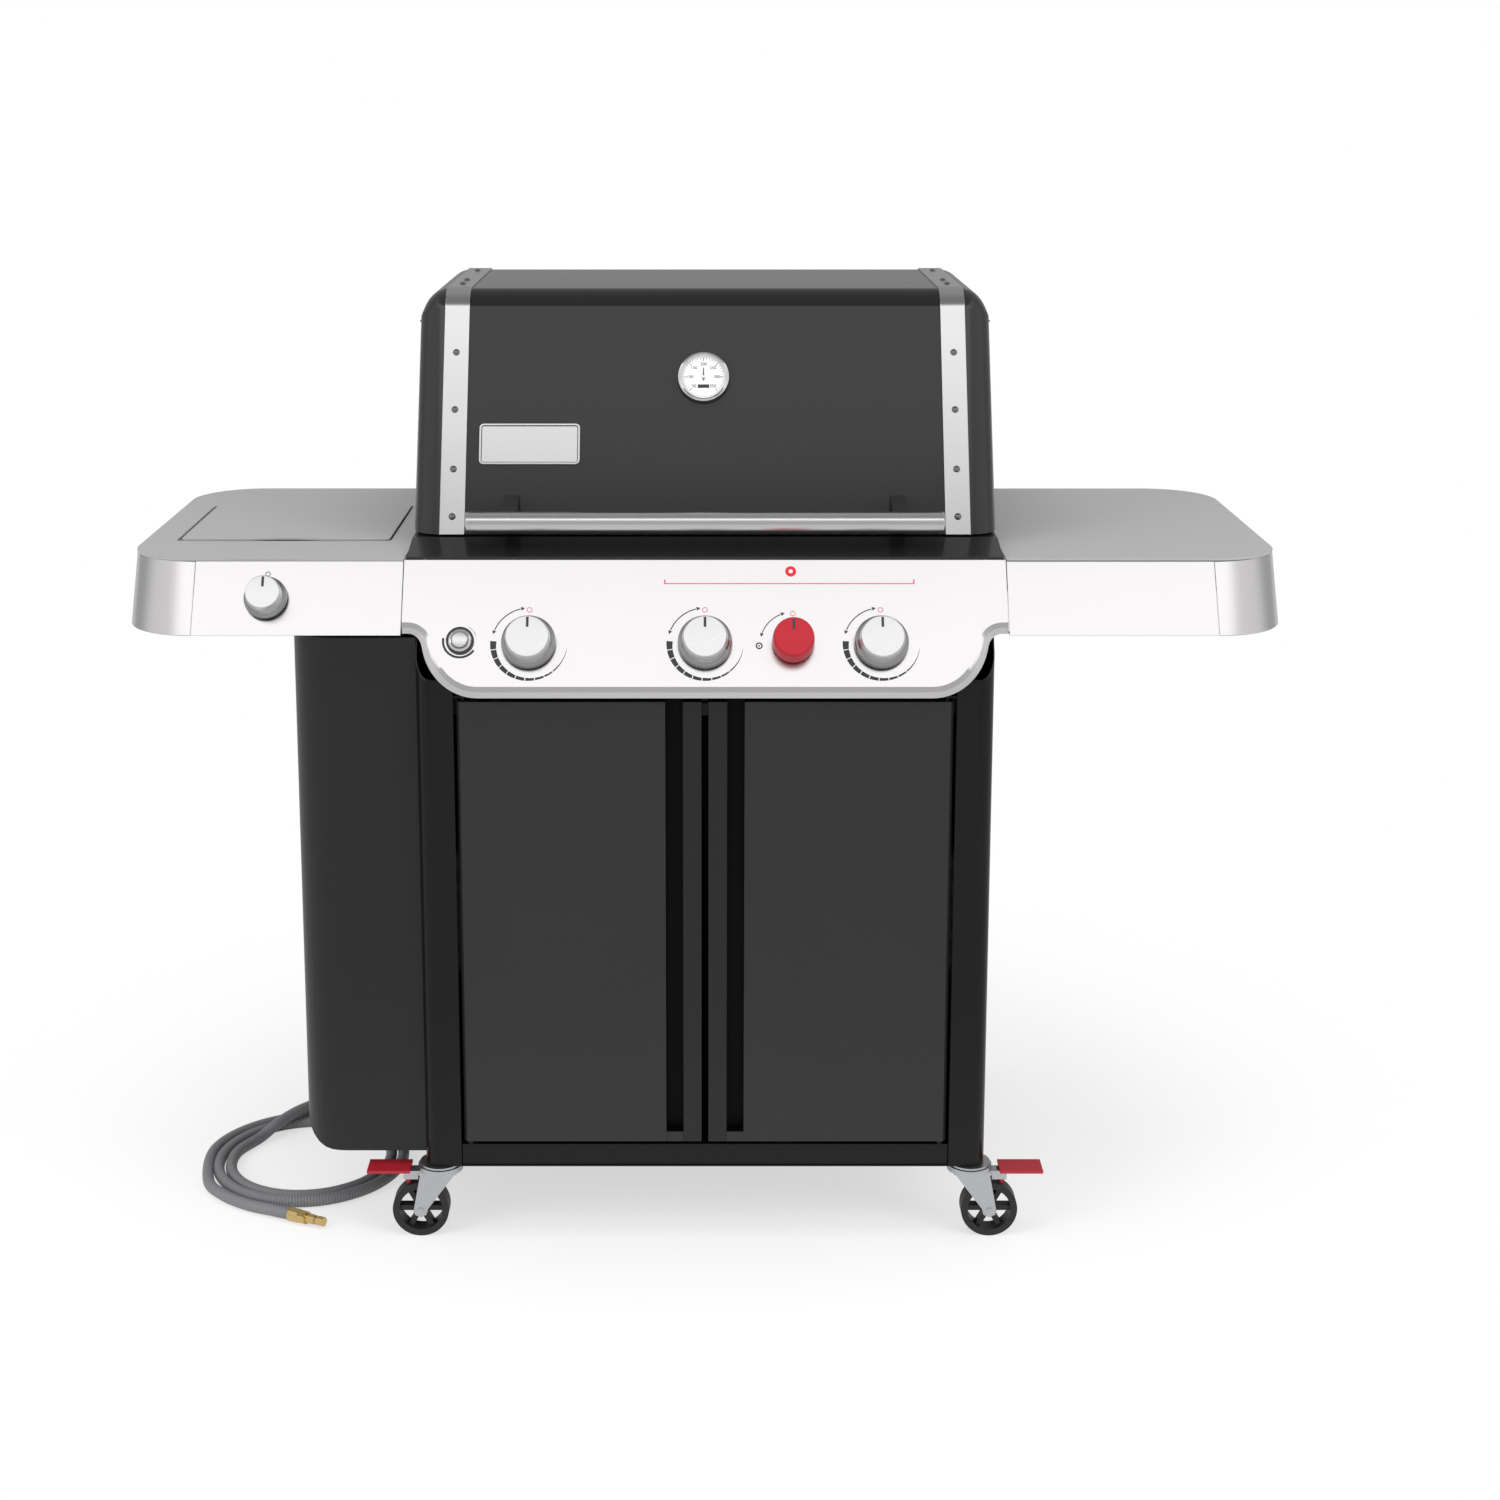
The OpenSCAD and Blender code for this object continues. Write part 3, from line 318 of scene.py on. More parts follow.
def finish_piece(o, body, paint, nodes=(), smooth=35):
    only(o)
    bpy.ops.object.shade_smooth_by_angle(angle=math.radians(smooth))
    modify(o, "WEIGHTED_NORMAL", keep_sharp=True)
    o.data.materials.clear()
    for p in (paint if isinstance(paint, (list, tuple)) else [paint]):
        o.data.materials.append(p)
    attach(o, body)
    if nodes:
        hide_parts(*nodes)
    return o


body_of_node = {n: b for b, ns in frame["record"]["behaviour"]["bodies"].items() for n in ns}
slot_of_node = {row["node"]: row["material_slot"] for row in frame["record"]["subparts"]}


def eased(node, width=0.0012, segments=2, paint=None, angle=35):
    """The CAD node's own shape with every sharp edge rounded, as folded sheet and castings have."""
    o = bpy.data.objects.new(node + "_piece", frame["nodes"][node].data.copy())
    scene.collection.objects.link(o)
    only(o)
    in_edit(lambda: bpy.ops.mesh.remove_doubles(threshold=2e-5),
            lambda: bpy.ops.mesh.dissolve_limited(angle_limit=math.radians(0.6)))
    ease(o, width, segments, angle)
    return finish_piece(o, body_of_node[node], paint or finish_of[slot_of_node[node]], [node])


# Cabinet: black powder-coated sheet with rounded corner posts, two doors with finger channels
# and the deep side cover on the left.
COVER_COAT = grained("cover_powder_coat", (0.007, 0.007, 0.0075), 0.34, scale=700, variation=0.15, bump=0.05)
POST_COAT = grained("post_gloss_coat", (0.004, 0.004, 0.0043), 0.2, scale=700, variation=0.1, bump=0.03)
POST_COAT.node_tree.nodes["Principled BSDF"].inputs["Specular IOR Level"].default_value = 0.3
EDGE_COAT = grained("door_edge_coat", (0.006, 0.006, 0.0065), 0.3, scale=700, variation=0.1, bump=0.04)
# The finger channels get a near-black copy of the cabinet coat: painted shade, darkening the recess in its colour.
CHANNEL_PAINTED_SHADE = grained("channel_painted_shade", (0.002, 0.002, 0.002), 0.6, scale=700, variation=0.1, bump=0.04)
CHANNEL_PAINTED_SHADE.node_tree.nodes["Principled BSDF"].inputs["Specular IOR Level"].default_value = 0.15
for name, width, paint in (("bottom_panel", 0.001, POST_COAT), ("side_panels", 0.0006, BLACK_COAT),
                           ("back_panel", 0.0006, BLACK_COAT), ("tank_cover", 0.0015, COVER_COAT),
                           ("front_frame", 0.0008, POST_COAT)):
    eased(name, width, 2, paint)
for name in ("door_left", "door_right"):
    door = eased(name, 0.0012, 2, [BLACK_COAT, CHANNEL_PAINTED_SHADE, EDGE_COAT])
    # material 1, painted shade, goes on the channel floors and walls; material 2 on the edges beside the centre gap
    for p in door.data.polygons:
        across = abs(p.center.x)
        if 0.0292 < across < 0.0518 and (p.center.y > -0.3215 or abs(p.normal.x) > 0.7):
            p.material_index = 1
        elif across < 0.0292:
            p.material_index = 2

# Lid: a pressed and enamelled steel sheet, one large curve from its sloped front into its flat top.
lid_knee = []


def rounded(points, radii, steps=8):
    """A polyline with an arc of the given radius at each inner corner."""
    out = [points[0]]
    for i in range(1, len(points) - 1):
        p, a, b = (Vector(points[j]) for j in (i, i - 1, i + 1))
        u, v = (a - p).normalized(), (b - p).normalized()
        half = u.angle(v) / 2
        r = radii[i - 1]
        if r == 0:
            out.append(tuple(p))
            continue
        tangent = r / math.tan(half)
        centre = p + (u + v).normalized() * (r / math.sin(half))
        start, stop = p + u * tangent - centre, p + v * tangent - centre
        turn = start.angle(stop)
        for k in range(steps + 1):
            f = k / steps
            w = (start * math.sin((1 - f) * turn) + stop * math.sin(f * turn)) / math.sin(turn)
            out.append(tuple(centre + w))
    out.append(points[-1])
    return out


lid_line = rounded([(-0.179, 0.941), (-0.0375, 1.2557), (0.3401, 1.2557), (0.3401, 0.941)], [0.042, 0.045], 12)
lid = fold("lid_sheet", lid_line, -0.3405, 0.3405)
in_edit(lambda: bpy.ops.mesh.normals_make_consistent(inside=False))
modify(lid, "SOLIDIFY", thickness=0.0025, offset=-1)
ease(lid, 0.0006, 1, 60)
ENAMEL.node_tree.nodes["Principled BSDF"].inputs["Specular IOR Level"].default_value = 0.36
finish_piece(lid, "lid", ENAMEL, ["lid_shell"])


def offset_line(points, d):
    """Moves a (y, z) polyline by d along its outward normal; a number or a function of the normal."""
    out = []
    for i, p in enumerate(points):
        a, b = Vector(points[max(i - 1, 0)]), Vector(points[min(i + 1, len(points) - 1)])
        t = (b - a).normalized()
        n = Vector((-t.y, t.x))
        step = d(n) if callable(d) else d
        if i in (0, len(points) - 1):
            n = Vector((n.x / abs(n.x), 0))
        out.append((p[0] + n.x * step, p[1] + n.y * step))
    return out


# Lid end castings: glossy black cast aluminium, rounded over towards the outside.
for side, node in ((-1, "lid_end_left"), (1, "lid_end_right")):
    rows = []
    cap_turn = 12
    for k in range(cap_turn + 2):
        a = max(0, k - 1) / cap_turn * math.pi / 2
        x = 0.3405 if k == 0 else 0.354 + 0.039 * math.sin(a)
        inset = (1 - math.cos(a))
        line = offset_line(lid_line, lambda n: -inset * (0.030 + 0.022 * max(0, n.y)))
        rows.append([(side * x, y, z) for y, z in line])
    count = len(lid_line)
    pts = [p for row in rows for p in row]
    quads = [(r * count + j, r * count + j + 1, (r + 1) * count + j + 1, (r + 1) * count + j)
             for r in range(len(rows) - 1) for j in range(count - 1)]
    quads.append([(len(rows) - 1) * count + j for j in range(count)])
    cap = skeleton(node + "_casting", pts, [], quads)
    in_edit(merge_and_face_out)
    if sum(p.normal.x * side for p in cap.data.polygons if abs(p.normal.x) > 0.9) < 0:
        in_edit(lambda: bpy.ops.mesh.flip_normals())
    modify(cap, "SOLIDIFY", thickness=0.004, offset=-1)
    finish_piece(cap, "lid", CAST_BLACK, [node], 30)

# Lid trims: bright steel bands over the joints between the sheet and the castings, with rivets.
TRIM = grained("satin_trim", (0.66, 0.655, 0.66), 0.2, metal=1.0, scale=90, stretch=(1, 20, 20), variation=0.05, bump=0.03)
RIVET = grained("rivet_steel", (0.3, 0.3, 0.3), 0.25, metal=1.0, scale=90, variation=0.05, bump=0.03)
for side in (-1, 1):
    x0, x1 = (0.322, 0.356) if side > 0 else (-0.356, -0.322)
    band = fold("lid_band_right" if side > 0 else "lid_band_left", offset_line(lid_line, 0.0022), x0, x1)
    in_edit(lambda: bpy.ops.mesh.normals_make_consistent(inside=False))
    modify(band, "SOLIDIFY", thickness=0.0022, offset=-1)
    ease(band, 0.0008, 2, 50)
    finish_piece(band, "lid", TRIM, ["lid_trims"])
lid_slope = math.atan2(0.1415, 0.3147)


def on_lid(x, up):
    """A place on the lid's sloped front, local +Z out of it."""
    return Matrix.Translation((x, -0.179 + up * math.tan(lid_slope), 0.941 + up)) @ Matrix.Rotation(
        math.pi / 2 - lid_slope, 4, "X")


rivet = [(0, 0.0026), (0.0022, 0.0024), (0.0040, 0.0012), (0.0048, 0.0)]
spots = [on_lid(s * 0.339, up) @ Matrix.Translation((0, 0, 0.0022)) for s in (-1, 1) for up in (0.022, 0.082, 0.158, 0.232)]
spots += [Matrix.Translation((s * 0.339, y, 1.2579)) for s in (-1, 1) for y in (0.03, 0.09, 0.25)]
rivets = [lathe("rivet", rivet, 20, spot) for spot in spots]
bpy.ops.object.select_all(action="DESELECT")
for r in rivets:
    r.select_set(True)
bpy.context.view_layer.objects.active = rivets[0]
bpy.ops.object.join()
rivets[0].name = "lid_rivet_heads"
finish_piece(rivets[0], "lid", RIVET, ["lid_rivets"])

# Handle: a stainless tube with pressed-in end caps, held by two black brackets.
tube = [(0, -0.3155), (0.0135, -0.3155), (0.0150, -0.3140), (0.0150, -0.3100), (0.0144, -0.3095), (0.0150, -0.3090),
        (0.0150, 0.3090), (0.0144, 0.3095), (0.0150, 0.3100), (0.0150, 0.3140), (0.0135, 0.3155), (0, 0.3155)]
handle = lathe("handle_tube", tube, 64, Matrix.Translation((0, -0.223, 0.965)) @ Matrix.Rotation(math.pi / 2, 4, "Y"))
finish_piece(handle, "lid", STAINLESS, ["handle_bar"])
eased("handle_mounts", 0.001)

# Thermometer: a chrome bezel, a white printed dial with plain numbers and a needle; the domed glass is not drawn.
dial_place = on_lid(-0.002, 0.199)
bezel = lathe("thermometer_bezel", [(0, 0.001), (0.0345, 0.0), (0.0355, 0.002), (0.0355, 0.006), (0.0345, 0.0085),
                                    (0.0325, 0.0095), (0.0310, 0.0088), (0.0302, 0.0062), (0.0298, 0.0052),
                                    (0, 0.0052)], 96, dial_place)
finish_piece(bezel, "lid", CHROME, ["thermometer"])
dial_white = grained("dial_white", (0.8, 0.8, 0.79), 0.4, scale=300, variation=0.02, bump=0.01)
print_dark = grained("dark_print", (0.035, 0.035, 0.035), 0.5, scale=800, variation=0.1, bump=0.02)
print_red = grained("red_print", (0.62, 0.10, 0.16), 0.5, scale=800, variation=0.1, bump=0.02)
face = lathe("thermometer_dial", [(0, 0.0056), (0.0297, 0.0056)], 64, dial_place)
finish_piece(face, "lid", dial_white)


def flat_marks(name, shapes, place, paint, body, lift=0.0001):
    """Printed marks: thin flat faces given as lists of (x, y) corners, laid on a face."""
    pts, fs = [], []
    for shape in shapes:
        fs.append(list(range(len(pts), len(pts) + len(shape))))
        pts += [(x, y, lift) for x, y in shape]
    o = skeleton(name, pts, [], fs)
    in_edit(lambda: bpy.ops.mesh.normals_make_consistent(inside=False))
    if sum(p.normal.z for p in o.data.polygons) < 0:
        in_edit(lambda: bpy.ops.mesh.flip_normals())
    o.data.transform(place)
    return finish_piece(o, body, paint)


def ring_strip(r0, r1, a0, a1, r2=None, r3=None, steps=0):
    """Quads along an arc in degrees, from width r0..r1 to width r2..r3."""
    r2, r3 = (r0 if r2 is None else r2), (r1 if r3 is None else r3)
    steps = steps or max(2, int(abs(a1 - a0) / 6))
    quads = []
    for i in range(steps):
        f, g = i / steps, (i + 1) / steps
        a, b = math.radians(a0 + (a1 - a0) * f), math.radians(a0 + (a1 - a0) * g)
        p, q = r0 + (r2 - r0) * f, r0 + (r2 - r0) * g
        s, t = r1 + (r3 - r1) * f, r1 + (r3 - r1) * g
        quads.append([(p * math.cos(a), p * math.sin(a)), (s * math.cos(a), s * math.sin(a)),
                      (t * math.cos(b), t * math.sin(b)), (q * math.cos(b), q * math.sin(b))])
    return quads


def shifted(shapes, dx, dy):
    return [[(x + dx, y + dy) for x, y in s] for s in shapes]


ticks = []
for i in range(31):
    a = 225 - 270 * i / 30
    ticks += ring_strip(0.0245 if i % 5 else 0.0225, 0.0270, a - (0.5 if i % 5 else 1.0), a + (0.5 if i % 5 else 1.0), steps=1)
ticks += ring_strip(0.0278, 0.0281, 0, 360, steps=72)
flat_marks("thermometer_scale", ticks, dial_place @ Matrix.Translation((0, 0, 0.0057)), print_dark, "lid")
numbers = []
for i, word in enumerate(("50", "100", "150", "200", "250", "300", "350")):
    a = math.radians(225 - 45 * i)
    bpy.ops.object.text_add(location=(0, 0, 0))
    t = bpy.context.object
    t.data.body, t.data.size, t.data.align_x, t.data.align_y = word, 0.0062, "CENTER", "CENTER"
    bpy.ops.object.convert(target="MESH")
    t = bpy.context.object
    t.data.transform(dial_place @ Matrix.Translation((0.0182 * math.cos(a), 0.0182 * math.sin(a), 0.0059)))
    numbers.append(t)
bpy.ops.object.select_all(action="DESELECT")
for t in numbers:
    t.select_set(True)
bpy.context.view_layer.objects.active = numbers[0]
bpy.ops.object.join()
numbers[0].name = "thermometer_numbers"
numbers[0].location = (0, 0, 0)
finish_piece(numbers[0], "lid", print_dark)
needle = [[(-0.0010, -0.005), (0.0010, -0.005), (0.0005, 0.013), (-0.0005, 0.013)]]
flat_marks("thermometer_needle", needle, dial_place @ Matrix.Translation((0, 0, 0.0064)), print_dark, "lid")
flat_marks("thermometer_window", [[(-0.0078, -0.0155), (0.0078, -0.0155), (0.0078, -0.0105), (-0.0078, -0.0105)]],
           dial_place @ Matrix.Translation((0, 0, 0.0057)), print_dark, "lid")
pivot = lathe("thermometer_pivot", [(0, 0.0074), (0.0018, 0.0072), (0.0026, 0.0064), (0.0026, 0.0056)], 24, dial_place)
finish_piece(pivot, "lid", CHROME)

# Name plate place: a bare plate with a raised frame; its two pins are not drawn.
plate_place = on_lid(-0.237, 0.114)
plate = skeleton("bare_plate", [(-0.068, -0.0285, 0.0), (0.068, -0.0285, 0.0), (0.068, 0.0285, 0.0), (-0.068, 0.0285, 0.0)],
                 [], [(0, 1, 2, 3)])
in_edit(lambda: bpy.ops.mesh.bevel(offset=0.006, segments=6, affect="VERTICES"),
        lambda: bpy.ops.mesh.extrude_region_move(TRANSFORM_OT_translate={"value": (0, 0, 0.0022)}),
        lambda: bpy.ops.mesh.select_all(action="DESELECT"))
top = [p for p in plate.data.polygons if p.normal.z > 0.9 or p.normal.z < -0.9]
for p in plate.data.polygons:
    p.select = abs(p.center.z - 0.0022) < 1e-5 and abs(p.normal.z) > 0.9
bpy.ops.object.mode_set(mode="EDIT")
bpy.ops.mesh.inset(thickness=0.0026)
bpy.ops.mesh.inset(thickness=0.0009, depth=-0.0012)
merge_and_face_out()
bpy.ops.object.mode_set(mode="OBJECT")
ease(plate, 0.0003, 2, 40)
groove = [p.index for p in plate.data.polygons if 0.0011 < p.center.z < 0.0021 and 0.2 < abs(p.normal.z) < 0.97]
plate.data.transform(plate_place)
finish_piece(plate, "lid", [TRIM, print_dark], ["badge_plate"])
for i in groove:
    plate.data.polygons[i].material_index = 1

# Control panel: one brushed stainless sheet, folded over into a rounded lip along its bottom edge.
def face_y_at(z):
    return -0.254 - (0.923 - z) * 0.57735


def on_face(x, z):
    return Matrix.Translation((x, face_y_at(z), z)) @ Matrix.Rotation(math.radians(60), 4, "X")


def arc_points(cx, cz, r, a0, a1, n):
    return [(cx + r * math.cos(math.radians(a0 + (a1 - a0) * i / n)), cz + r * math.sin(math.radians(a0 + (a1 - a0) * i / n)))
            for i in range(n + 1)]


def panel_edge(e):
    """Half outline from the top corner to the bottom middle, set in by e."""
    return ([(0.394 - 0.0005 * 0, 0.922), (0.394, 0.832 + e)] + arc_points(0.386, 0.812, 0.020 + e, 90, 165, 8)
            + arc_points(0.293, 0.832, 0.075 - e, -15, -90, 14) + [(0, 0.757 + e)])


inner, outer = panel_edge(0.0155), panel_edge(0.0)
pts, fs = [], []
for s in (1, -1):
    base = len(pts)
    n = len(inner)
    pts += [(s * x, face_y_at(z), z) for x, z in inner] + [(0, face_y_at(0.922), 0.922)]
    fs.append([base + i for i in range(n + 1)])
    lip = len(pts)
    # the lip bulges a little before it turns under
    for f, back in ((0.45, -0.0008), (1.0, 0.0015)):
        pts += [(s * (a[0] + (b[0] - a[0]) * f), face_y_at(a[1]) + back, a[1] + (b[1] - a[1]) * f) for a, b in zip(inner, outer)]
    pts += [(s * b[0], face_y_at(a[1]) + 0.014, b[1] + 0.001) for a, b in zip(inner, outer)]
    rings = [base, lip, lip + n, lip + 2 * n]
    for p, q in zip(rings, rings[1:]):
        fs += [(p + i, p + i + 1, q + i + 1, q + i) for i in range(n - 1)]
panel = skeleton("control_panel_sheet", pts, [], fs)
in_edit(merge_and_face_out)
if sum(p.normal.y * p.area for p in panel.data.polygons) > 0:
    in_edit(lambda: bpy.ops.mesh.flip_normals())
modify(panel, "SOLIDIFY", thickness=0.002, offset=-1)
ease(panel, 0.0012, 3, 14)
finish_piece(panel, "grill", STAINLESS, ["control_panel"], 40)

# Printed marks round the knobs: an ignition arc with arrow heads, a fading heat ring, and a red bracket.
dark_marks = []


def arrow_head(r, a, turn):
    c, s = math.cos(math.radians(a)), math.sin(math.radians(a))
    tip, wing = 0.0050 * turn, 0.0027
    t = (-s, c)
    return [[(r * c + t[0] * tip, r * s + t[1] * tip), ((r - wing) * c, (r - wing) * s), ((r + wing) * c, (r + wing) * s)]]


burner_marks = ring_strip(0.0475, 0.0489, 104, 158) + arrow_head(0.0482, 103, -1) + arrow_head(0.0482, 159, 1)
for i in range(9):
    a0, a1 = 176 + i * 15, 176 + i * 15 + 13.6
    w0, w1 = 0.0082 - 0.0007 * i, 0.0082 - 0.0007 * (i + 1)
    burner_marks += ring_strip(0.0500 - w0, 0.0500, a0, a1, 0.0500 - w1, 0.0500)
burner_marks += ring_strip(0.0482, 0.0500, 311, 352, 0.0496, 0.0500)
top_ring = shifted(ring_strip(0.0027, 0.0037, 0, 360, steps=24), 0, 0.0455)
for x in (-0.228, 0, 0.228):
    flat_marks("heat_marks", burner_marks, on_face(x, 0.823), print_dark, "grill")
    flat_marks("off_ring", top_ring, on_face(x, 0.823), print_red, "grill")
sear_marks = ring_strip(0.0417, 0.0430, 112, 160) + arrow_head(0.0424, 111, -1) + arrow_head(0.0424, 161, 1)
sear_marks += shifted(ring_strip(0.0028, 0.0046, 0, 360, steps=24), -0.0440, -0.0030)
sear_marks += shifted(ring_strip(0.0002, 0.0012, 0, 360, steps=12), -0.0440, -0.0030)
flat_marks("sear_marks", sear_marks, on_face(0.114, 0.823), print_dark, "grill")
flat_marks("sear_off_ring", shifted(ring_strip(0.0027, 0.0037, 0, 360, steps=24), 0, 0.0405), on_face(0.114, 0.823), print_red,
           "grill")
flat_marks("side_off_ring", shifted(ring_strip(0.0024, 0.0034, 0, 360, steps=24), 0, 0.0345), on_face(-0.571, 0.875),
           print_dark, "grill")
flat_marks("spark_marks", ring_strip(0.0205, 0.0235, 170, 325) + ring_strip(0.0212, 0.0218, 20, 60), on_face(-0.317, 0.826),
           print_dark, "grill")
bracket = [[(-0.166, -0.0007), (0.158, -0.0007), (0.158, 0.0007), (-0.166, 0.0007)],
           [(-0.1675, -0.0007), (-0.1655, -0.0007), (-0.1655, 0.0055), (-0.1675, 0.0055)],
           [(0.1575, -0.0007), (0.1595, -0.0007), (0.1595, 0.0055), (0.1575, 0.0055)]]
flat_marks("sear_bracket", bracket, on_face(0.114, 0.8935), print_red, "grill")
emblem_red = grained("emblem_red", (0.6, 0.01, 0.02), 0.35, scale=500, variation=0.05, bump=0.02)
flat_marks("sear_emblem", ring_strip(0.0, 0.0072, 0, 360, steps=36), on_face(0.112, 0.908), emblem_red, "grill")
flat_marks("sear_emblem_spot", ring_strip(0.0, 0.0026, 0, 360, steps=24), on_face(0.112, 0.908), dial_white, "grill",
           0.0002)

# Knobs: satin metal-finish mouldings with a flared skirt, a bright chamfer and a black index line.
knob_profile = [(0, 0.0345), (0.0262, 0.0345), (0.0272, 0.0342), (0.0278, 0.0334), (0.0282, 0.0310), (0.0288, 0.0300),
                (0.0292, 0.0285), (0.0296, 0.0200), (0.0300, 0.0155), (0.0312, 0.0140), (0.0330, 0.0132), (0.0345, 0.0118),
                (0.0352, 0.0095), (0.0354, 0.0064), (0.0350, 0.0060), (0, 0.0060)]
SKIRT = grained("dark_chrome_skirt", (0.42, 0.42, 0.43), 0.16, metal=1.0, scale=200, variation=0.03, bump=0.01)
for node, x, z, scale, paint, index in (("knob_left", -0.228, 0.823, 1.0, KNOB, print_dark), ("knob_middle", 0, 0.823, 1.0, KNOB, print_dark),
                                        ("knob_right", 0.228, 0.823, 1.0, KNOB, print_dark),
                                        ("knob_side", -0.571, 0.875, 0.80, KNOB, print_dark),
                                        ("knob_sear", 0.114, 0.823, 0.0, RED_KNOB, print_dark)):
    if scale:
        shape = [(r * scale, h if scale == 1 else 0.006 + (h - 0.006) * 0.95) for r, h in knob_profile]
    else:
        shape = [(0, 0.0345), (0.0235, 0.0345), (0.0250, 0.0340), (0.0258, 0.0328), (0.0264, 0.0300), (0.0270, 0.0250),
                 (0.0274, 0.0100), (0.0276, 0.0070), (0.0270, 0.0060), (0, 0.0060)]
    knob = lathe(node + "_body", shape, 96, on_face(x, z))
    finish_piece(knob, body_of_node[node], [paint, SKIRT if scale else paint], [node], 30)
    local = on_face(x, z).inverted()
    for p in knob.data.polygons:
        p.material_index = 1 if (local @ p.center).z < 0.0150 else 0
    top_r, top_h = shape[1][0], shape[0][1]
    line = [[(-0.0017, top_r - 0.0140), (0.0017, top_r - 0.0140), (0.0017, top_r - 0.0005), (-0.0017, top_r - 0.0005)]]
    flat_marks(node + "_index", line, on_face(x, z) @ Matrix.Translation((0, 0, top_h)), index, body_of_node[node],
               0.00015)
button = lathe("igniter_cap", [(0, 0.0080), (0.0088, 0.0080), (0.0100, 0.0074), (0.0106, 0.0064), (0.0106, -0.0095), (0, -0.0095)], 48,
               on_face(-0.317, 0.826))
finish_piece(button, "button", KNOB, ["igniter_button"])
ring = lathe("igniter_ring", [(0.0112, 0.0042), (0.0116, 0.0050), (0.0128, 0.0054), (0.0140, 0.0050), (0.0170, 0.0022),
                              (0.0178, 0.0), (0.0112, 0.0), (0.0112, 0.0042)], 64, on_face(-0.317, 0.826))
finish_piece(ring, "grill", CHROME)

# Side tables: stainless end pieces with large rounded corners under flat enamelled tops.
def table_outline(front, r_front, half=0.762, back=0.280, r_back=0.095):
    x0 = 0.667
    pts = [(x0, front)] if half - r_front > x0 + 1e-4 else []
    pts += arc_points(half - r_front, front + r_front, r_front, -90, 0, 20)
    pts += arc_points(half - r_back, back - r_back, r_back, 0, 90, 16)
    return pts


for s, word in ((-1, "left"), (1, "right")):
    low, high = table_outline(-0.3065, 0.095), table_outline(-0.2557, 0.095)
    pts = [(s * x, y, 0.832) for x, y in low] + [(s * x, y, 0.920) for x, y in high]
    n = len(low)
    end = skeleton(f"table_end_{word}", pts, [], [(i, i + 1, n + i + 1, n + i) for i in range(n - 1)])
    in_edit(merge_and_face_out)
    if sum(p.normal.x * s for p in end.data.polygons) < 0:
        in_edit(lambda: bpy.ops.mesh.flip_normals())
    modify(end, "SOLIDIFY", thickness=0.002, offset=-1)
    ease(end, 0.0008, 2, 50)
    finish_piece(end, "grill", STAINLESS, ["table_ends"], 40)
for name in ("table_fascias", "table_brackets"):
    eased(name, 0.0008)


def plate_part(name, outline, z0, z1, width):
    o = skeleton(name, [(x, y, z0) for x, y in outline], [], [list(range(len(outline)))])
    in_edit(lambda: bpy.ops.mesh.extrude_region_move(TRANSFORM_OT_translate={"value": (0, 0, z1 - z0)}), merge_and_face_out)
    ease(o, width, 3, 40)
    return o


for s, word in ((-1, "left"), (1, "right")):
    if s < 0:
        eased("table_left", 0.0010, 3)
        continue
    outline = [(0.3945, -0.254)] + arc_points(0.672, -0.164, 0.090, -90, 0, 20) + arc_points(0.667, 0.185, 0.095, 0, 90, 16) + [(0.3945, 0.280)]
    o = plate_part("table_top_right", outline, 0.920, 0.923, 0.0010)
    finish_piece(o, "grill", TABLE, ["table_right"])
eased("side_burner_lid", 0.0008, 3)

# Cooking box, its grates and heat bars; casters with spoked wheels; plug.
for name, width in (("cookbox", 0.002), ("cooking_grates", 0.0012), ("heat_bars", 0.0004), ("side_burner_grate", 0.001),
                    ("side_burner_head", 0.001), ("grease_tray", 0.0005), ("side_burner_bowl", 0.0005),
                    ("caster_plates", 0.0005), ("hose_plug", 0.0005), ("hose_gland", 0.001),
                    ("fork_front_left", 0.0006), ("fork_front_right", 0.0006), ("fork_rear_left", 0.0006),
                    ("fork_rear_right", 0.0006), ("brake_front_left", 0.0010), ("brake_front_right", 0.0010),
                    ("wheel_front_left", 0.0025), ("wheel_front_right", 0.0025), ("wheel_rear_left", 0.0025),
                    ("wheel_rear_right", 0.0025)):
    eased(name, width)


# Studio: a pale floor, a white surround and three soft lamps.
floor_mesh = bpy.data.meshes.new("floor")
floor_mesh.from_pydata([(-12, -8, 0), (12, -8, 0), (12, 14, 0), (-12, 14, 0)], [], [(0, 1, 2, 3)])
floor = bpy.data.objects.new("floor", floor_mesh)
scene.collection.objects.link(floor)
floor_paint, nodes, links, bsdf = material("floor_paint", (0.93, 0.93, 0.93), 0.9)
place = nodes.new("ShaderNodeTexCoord")
reach = nodes.new("ShaderNodeVectorMath")
reach.operation = "LENGTH"
links.new(place.outputs["Object"], reach.inputs[0])
fade = nodes.new("ShaderNodeMapRange")
fade.interpolation_type = "SMOOTHSTEP"
fade.inputs["From Min"].default_value = 0.55
fade.inputs["From Max"].default_value = 1.25
fade.inputs["To Min"].default_value = 0.62
links.new(reach.outputs["Value"], fade.inputs["Value"])
path = nodes.new("ShaderNodeLightPath")
seen = nodes.new("ShaderNodeMath")
seen.operation = "MAXIMUM"
links.new(path.outputs["Is Camera Ray"], seen.inputs[0])
links.new(path.outputs["Is Glossy Ray"], seen.inputs[1])
whiten = nodes.new("ShaderNodeMath")
whiten.operation = "MULTIPLY"
links.new(seen.outputs[0], whiten.inputs[0])
links.new(fade.outputs["Result"], whiten.inputs[1])
glow = nodes.new("ShaderNodeEmission")
glow.inputs["Color"].default_value = (1, 1, 1, 1)
shine = nodes.new("ShaderNodeMapRange")
shine.inputs["To Min"].default_value = 0.6
shine.inputs["To Max"].default_value = 1.0
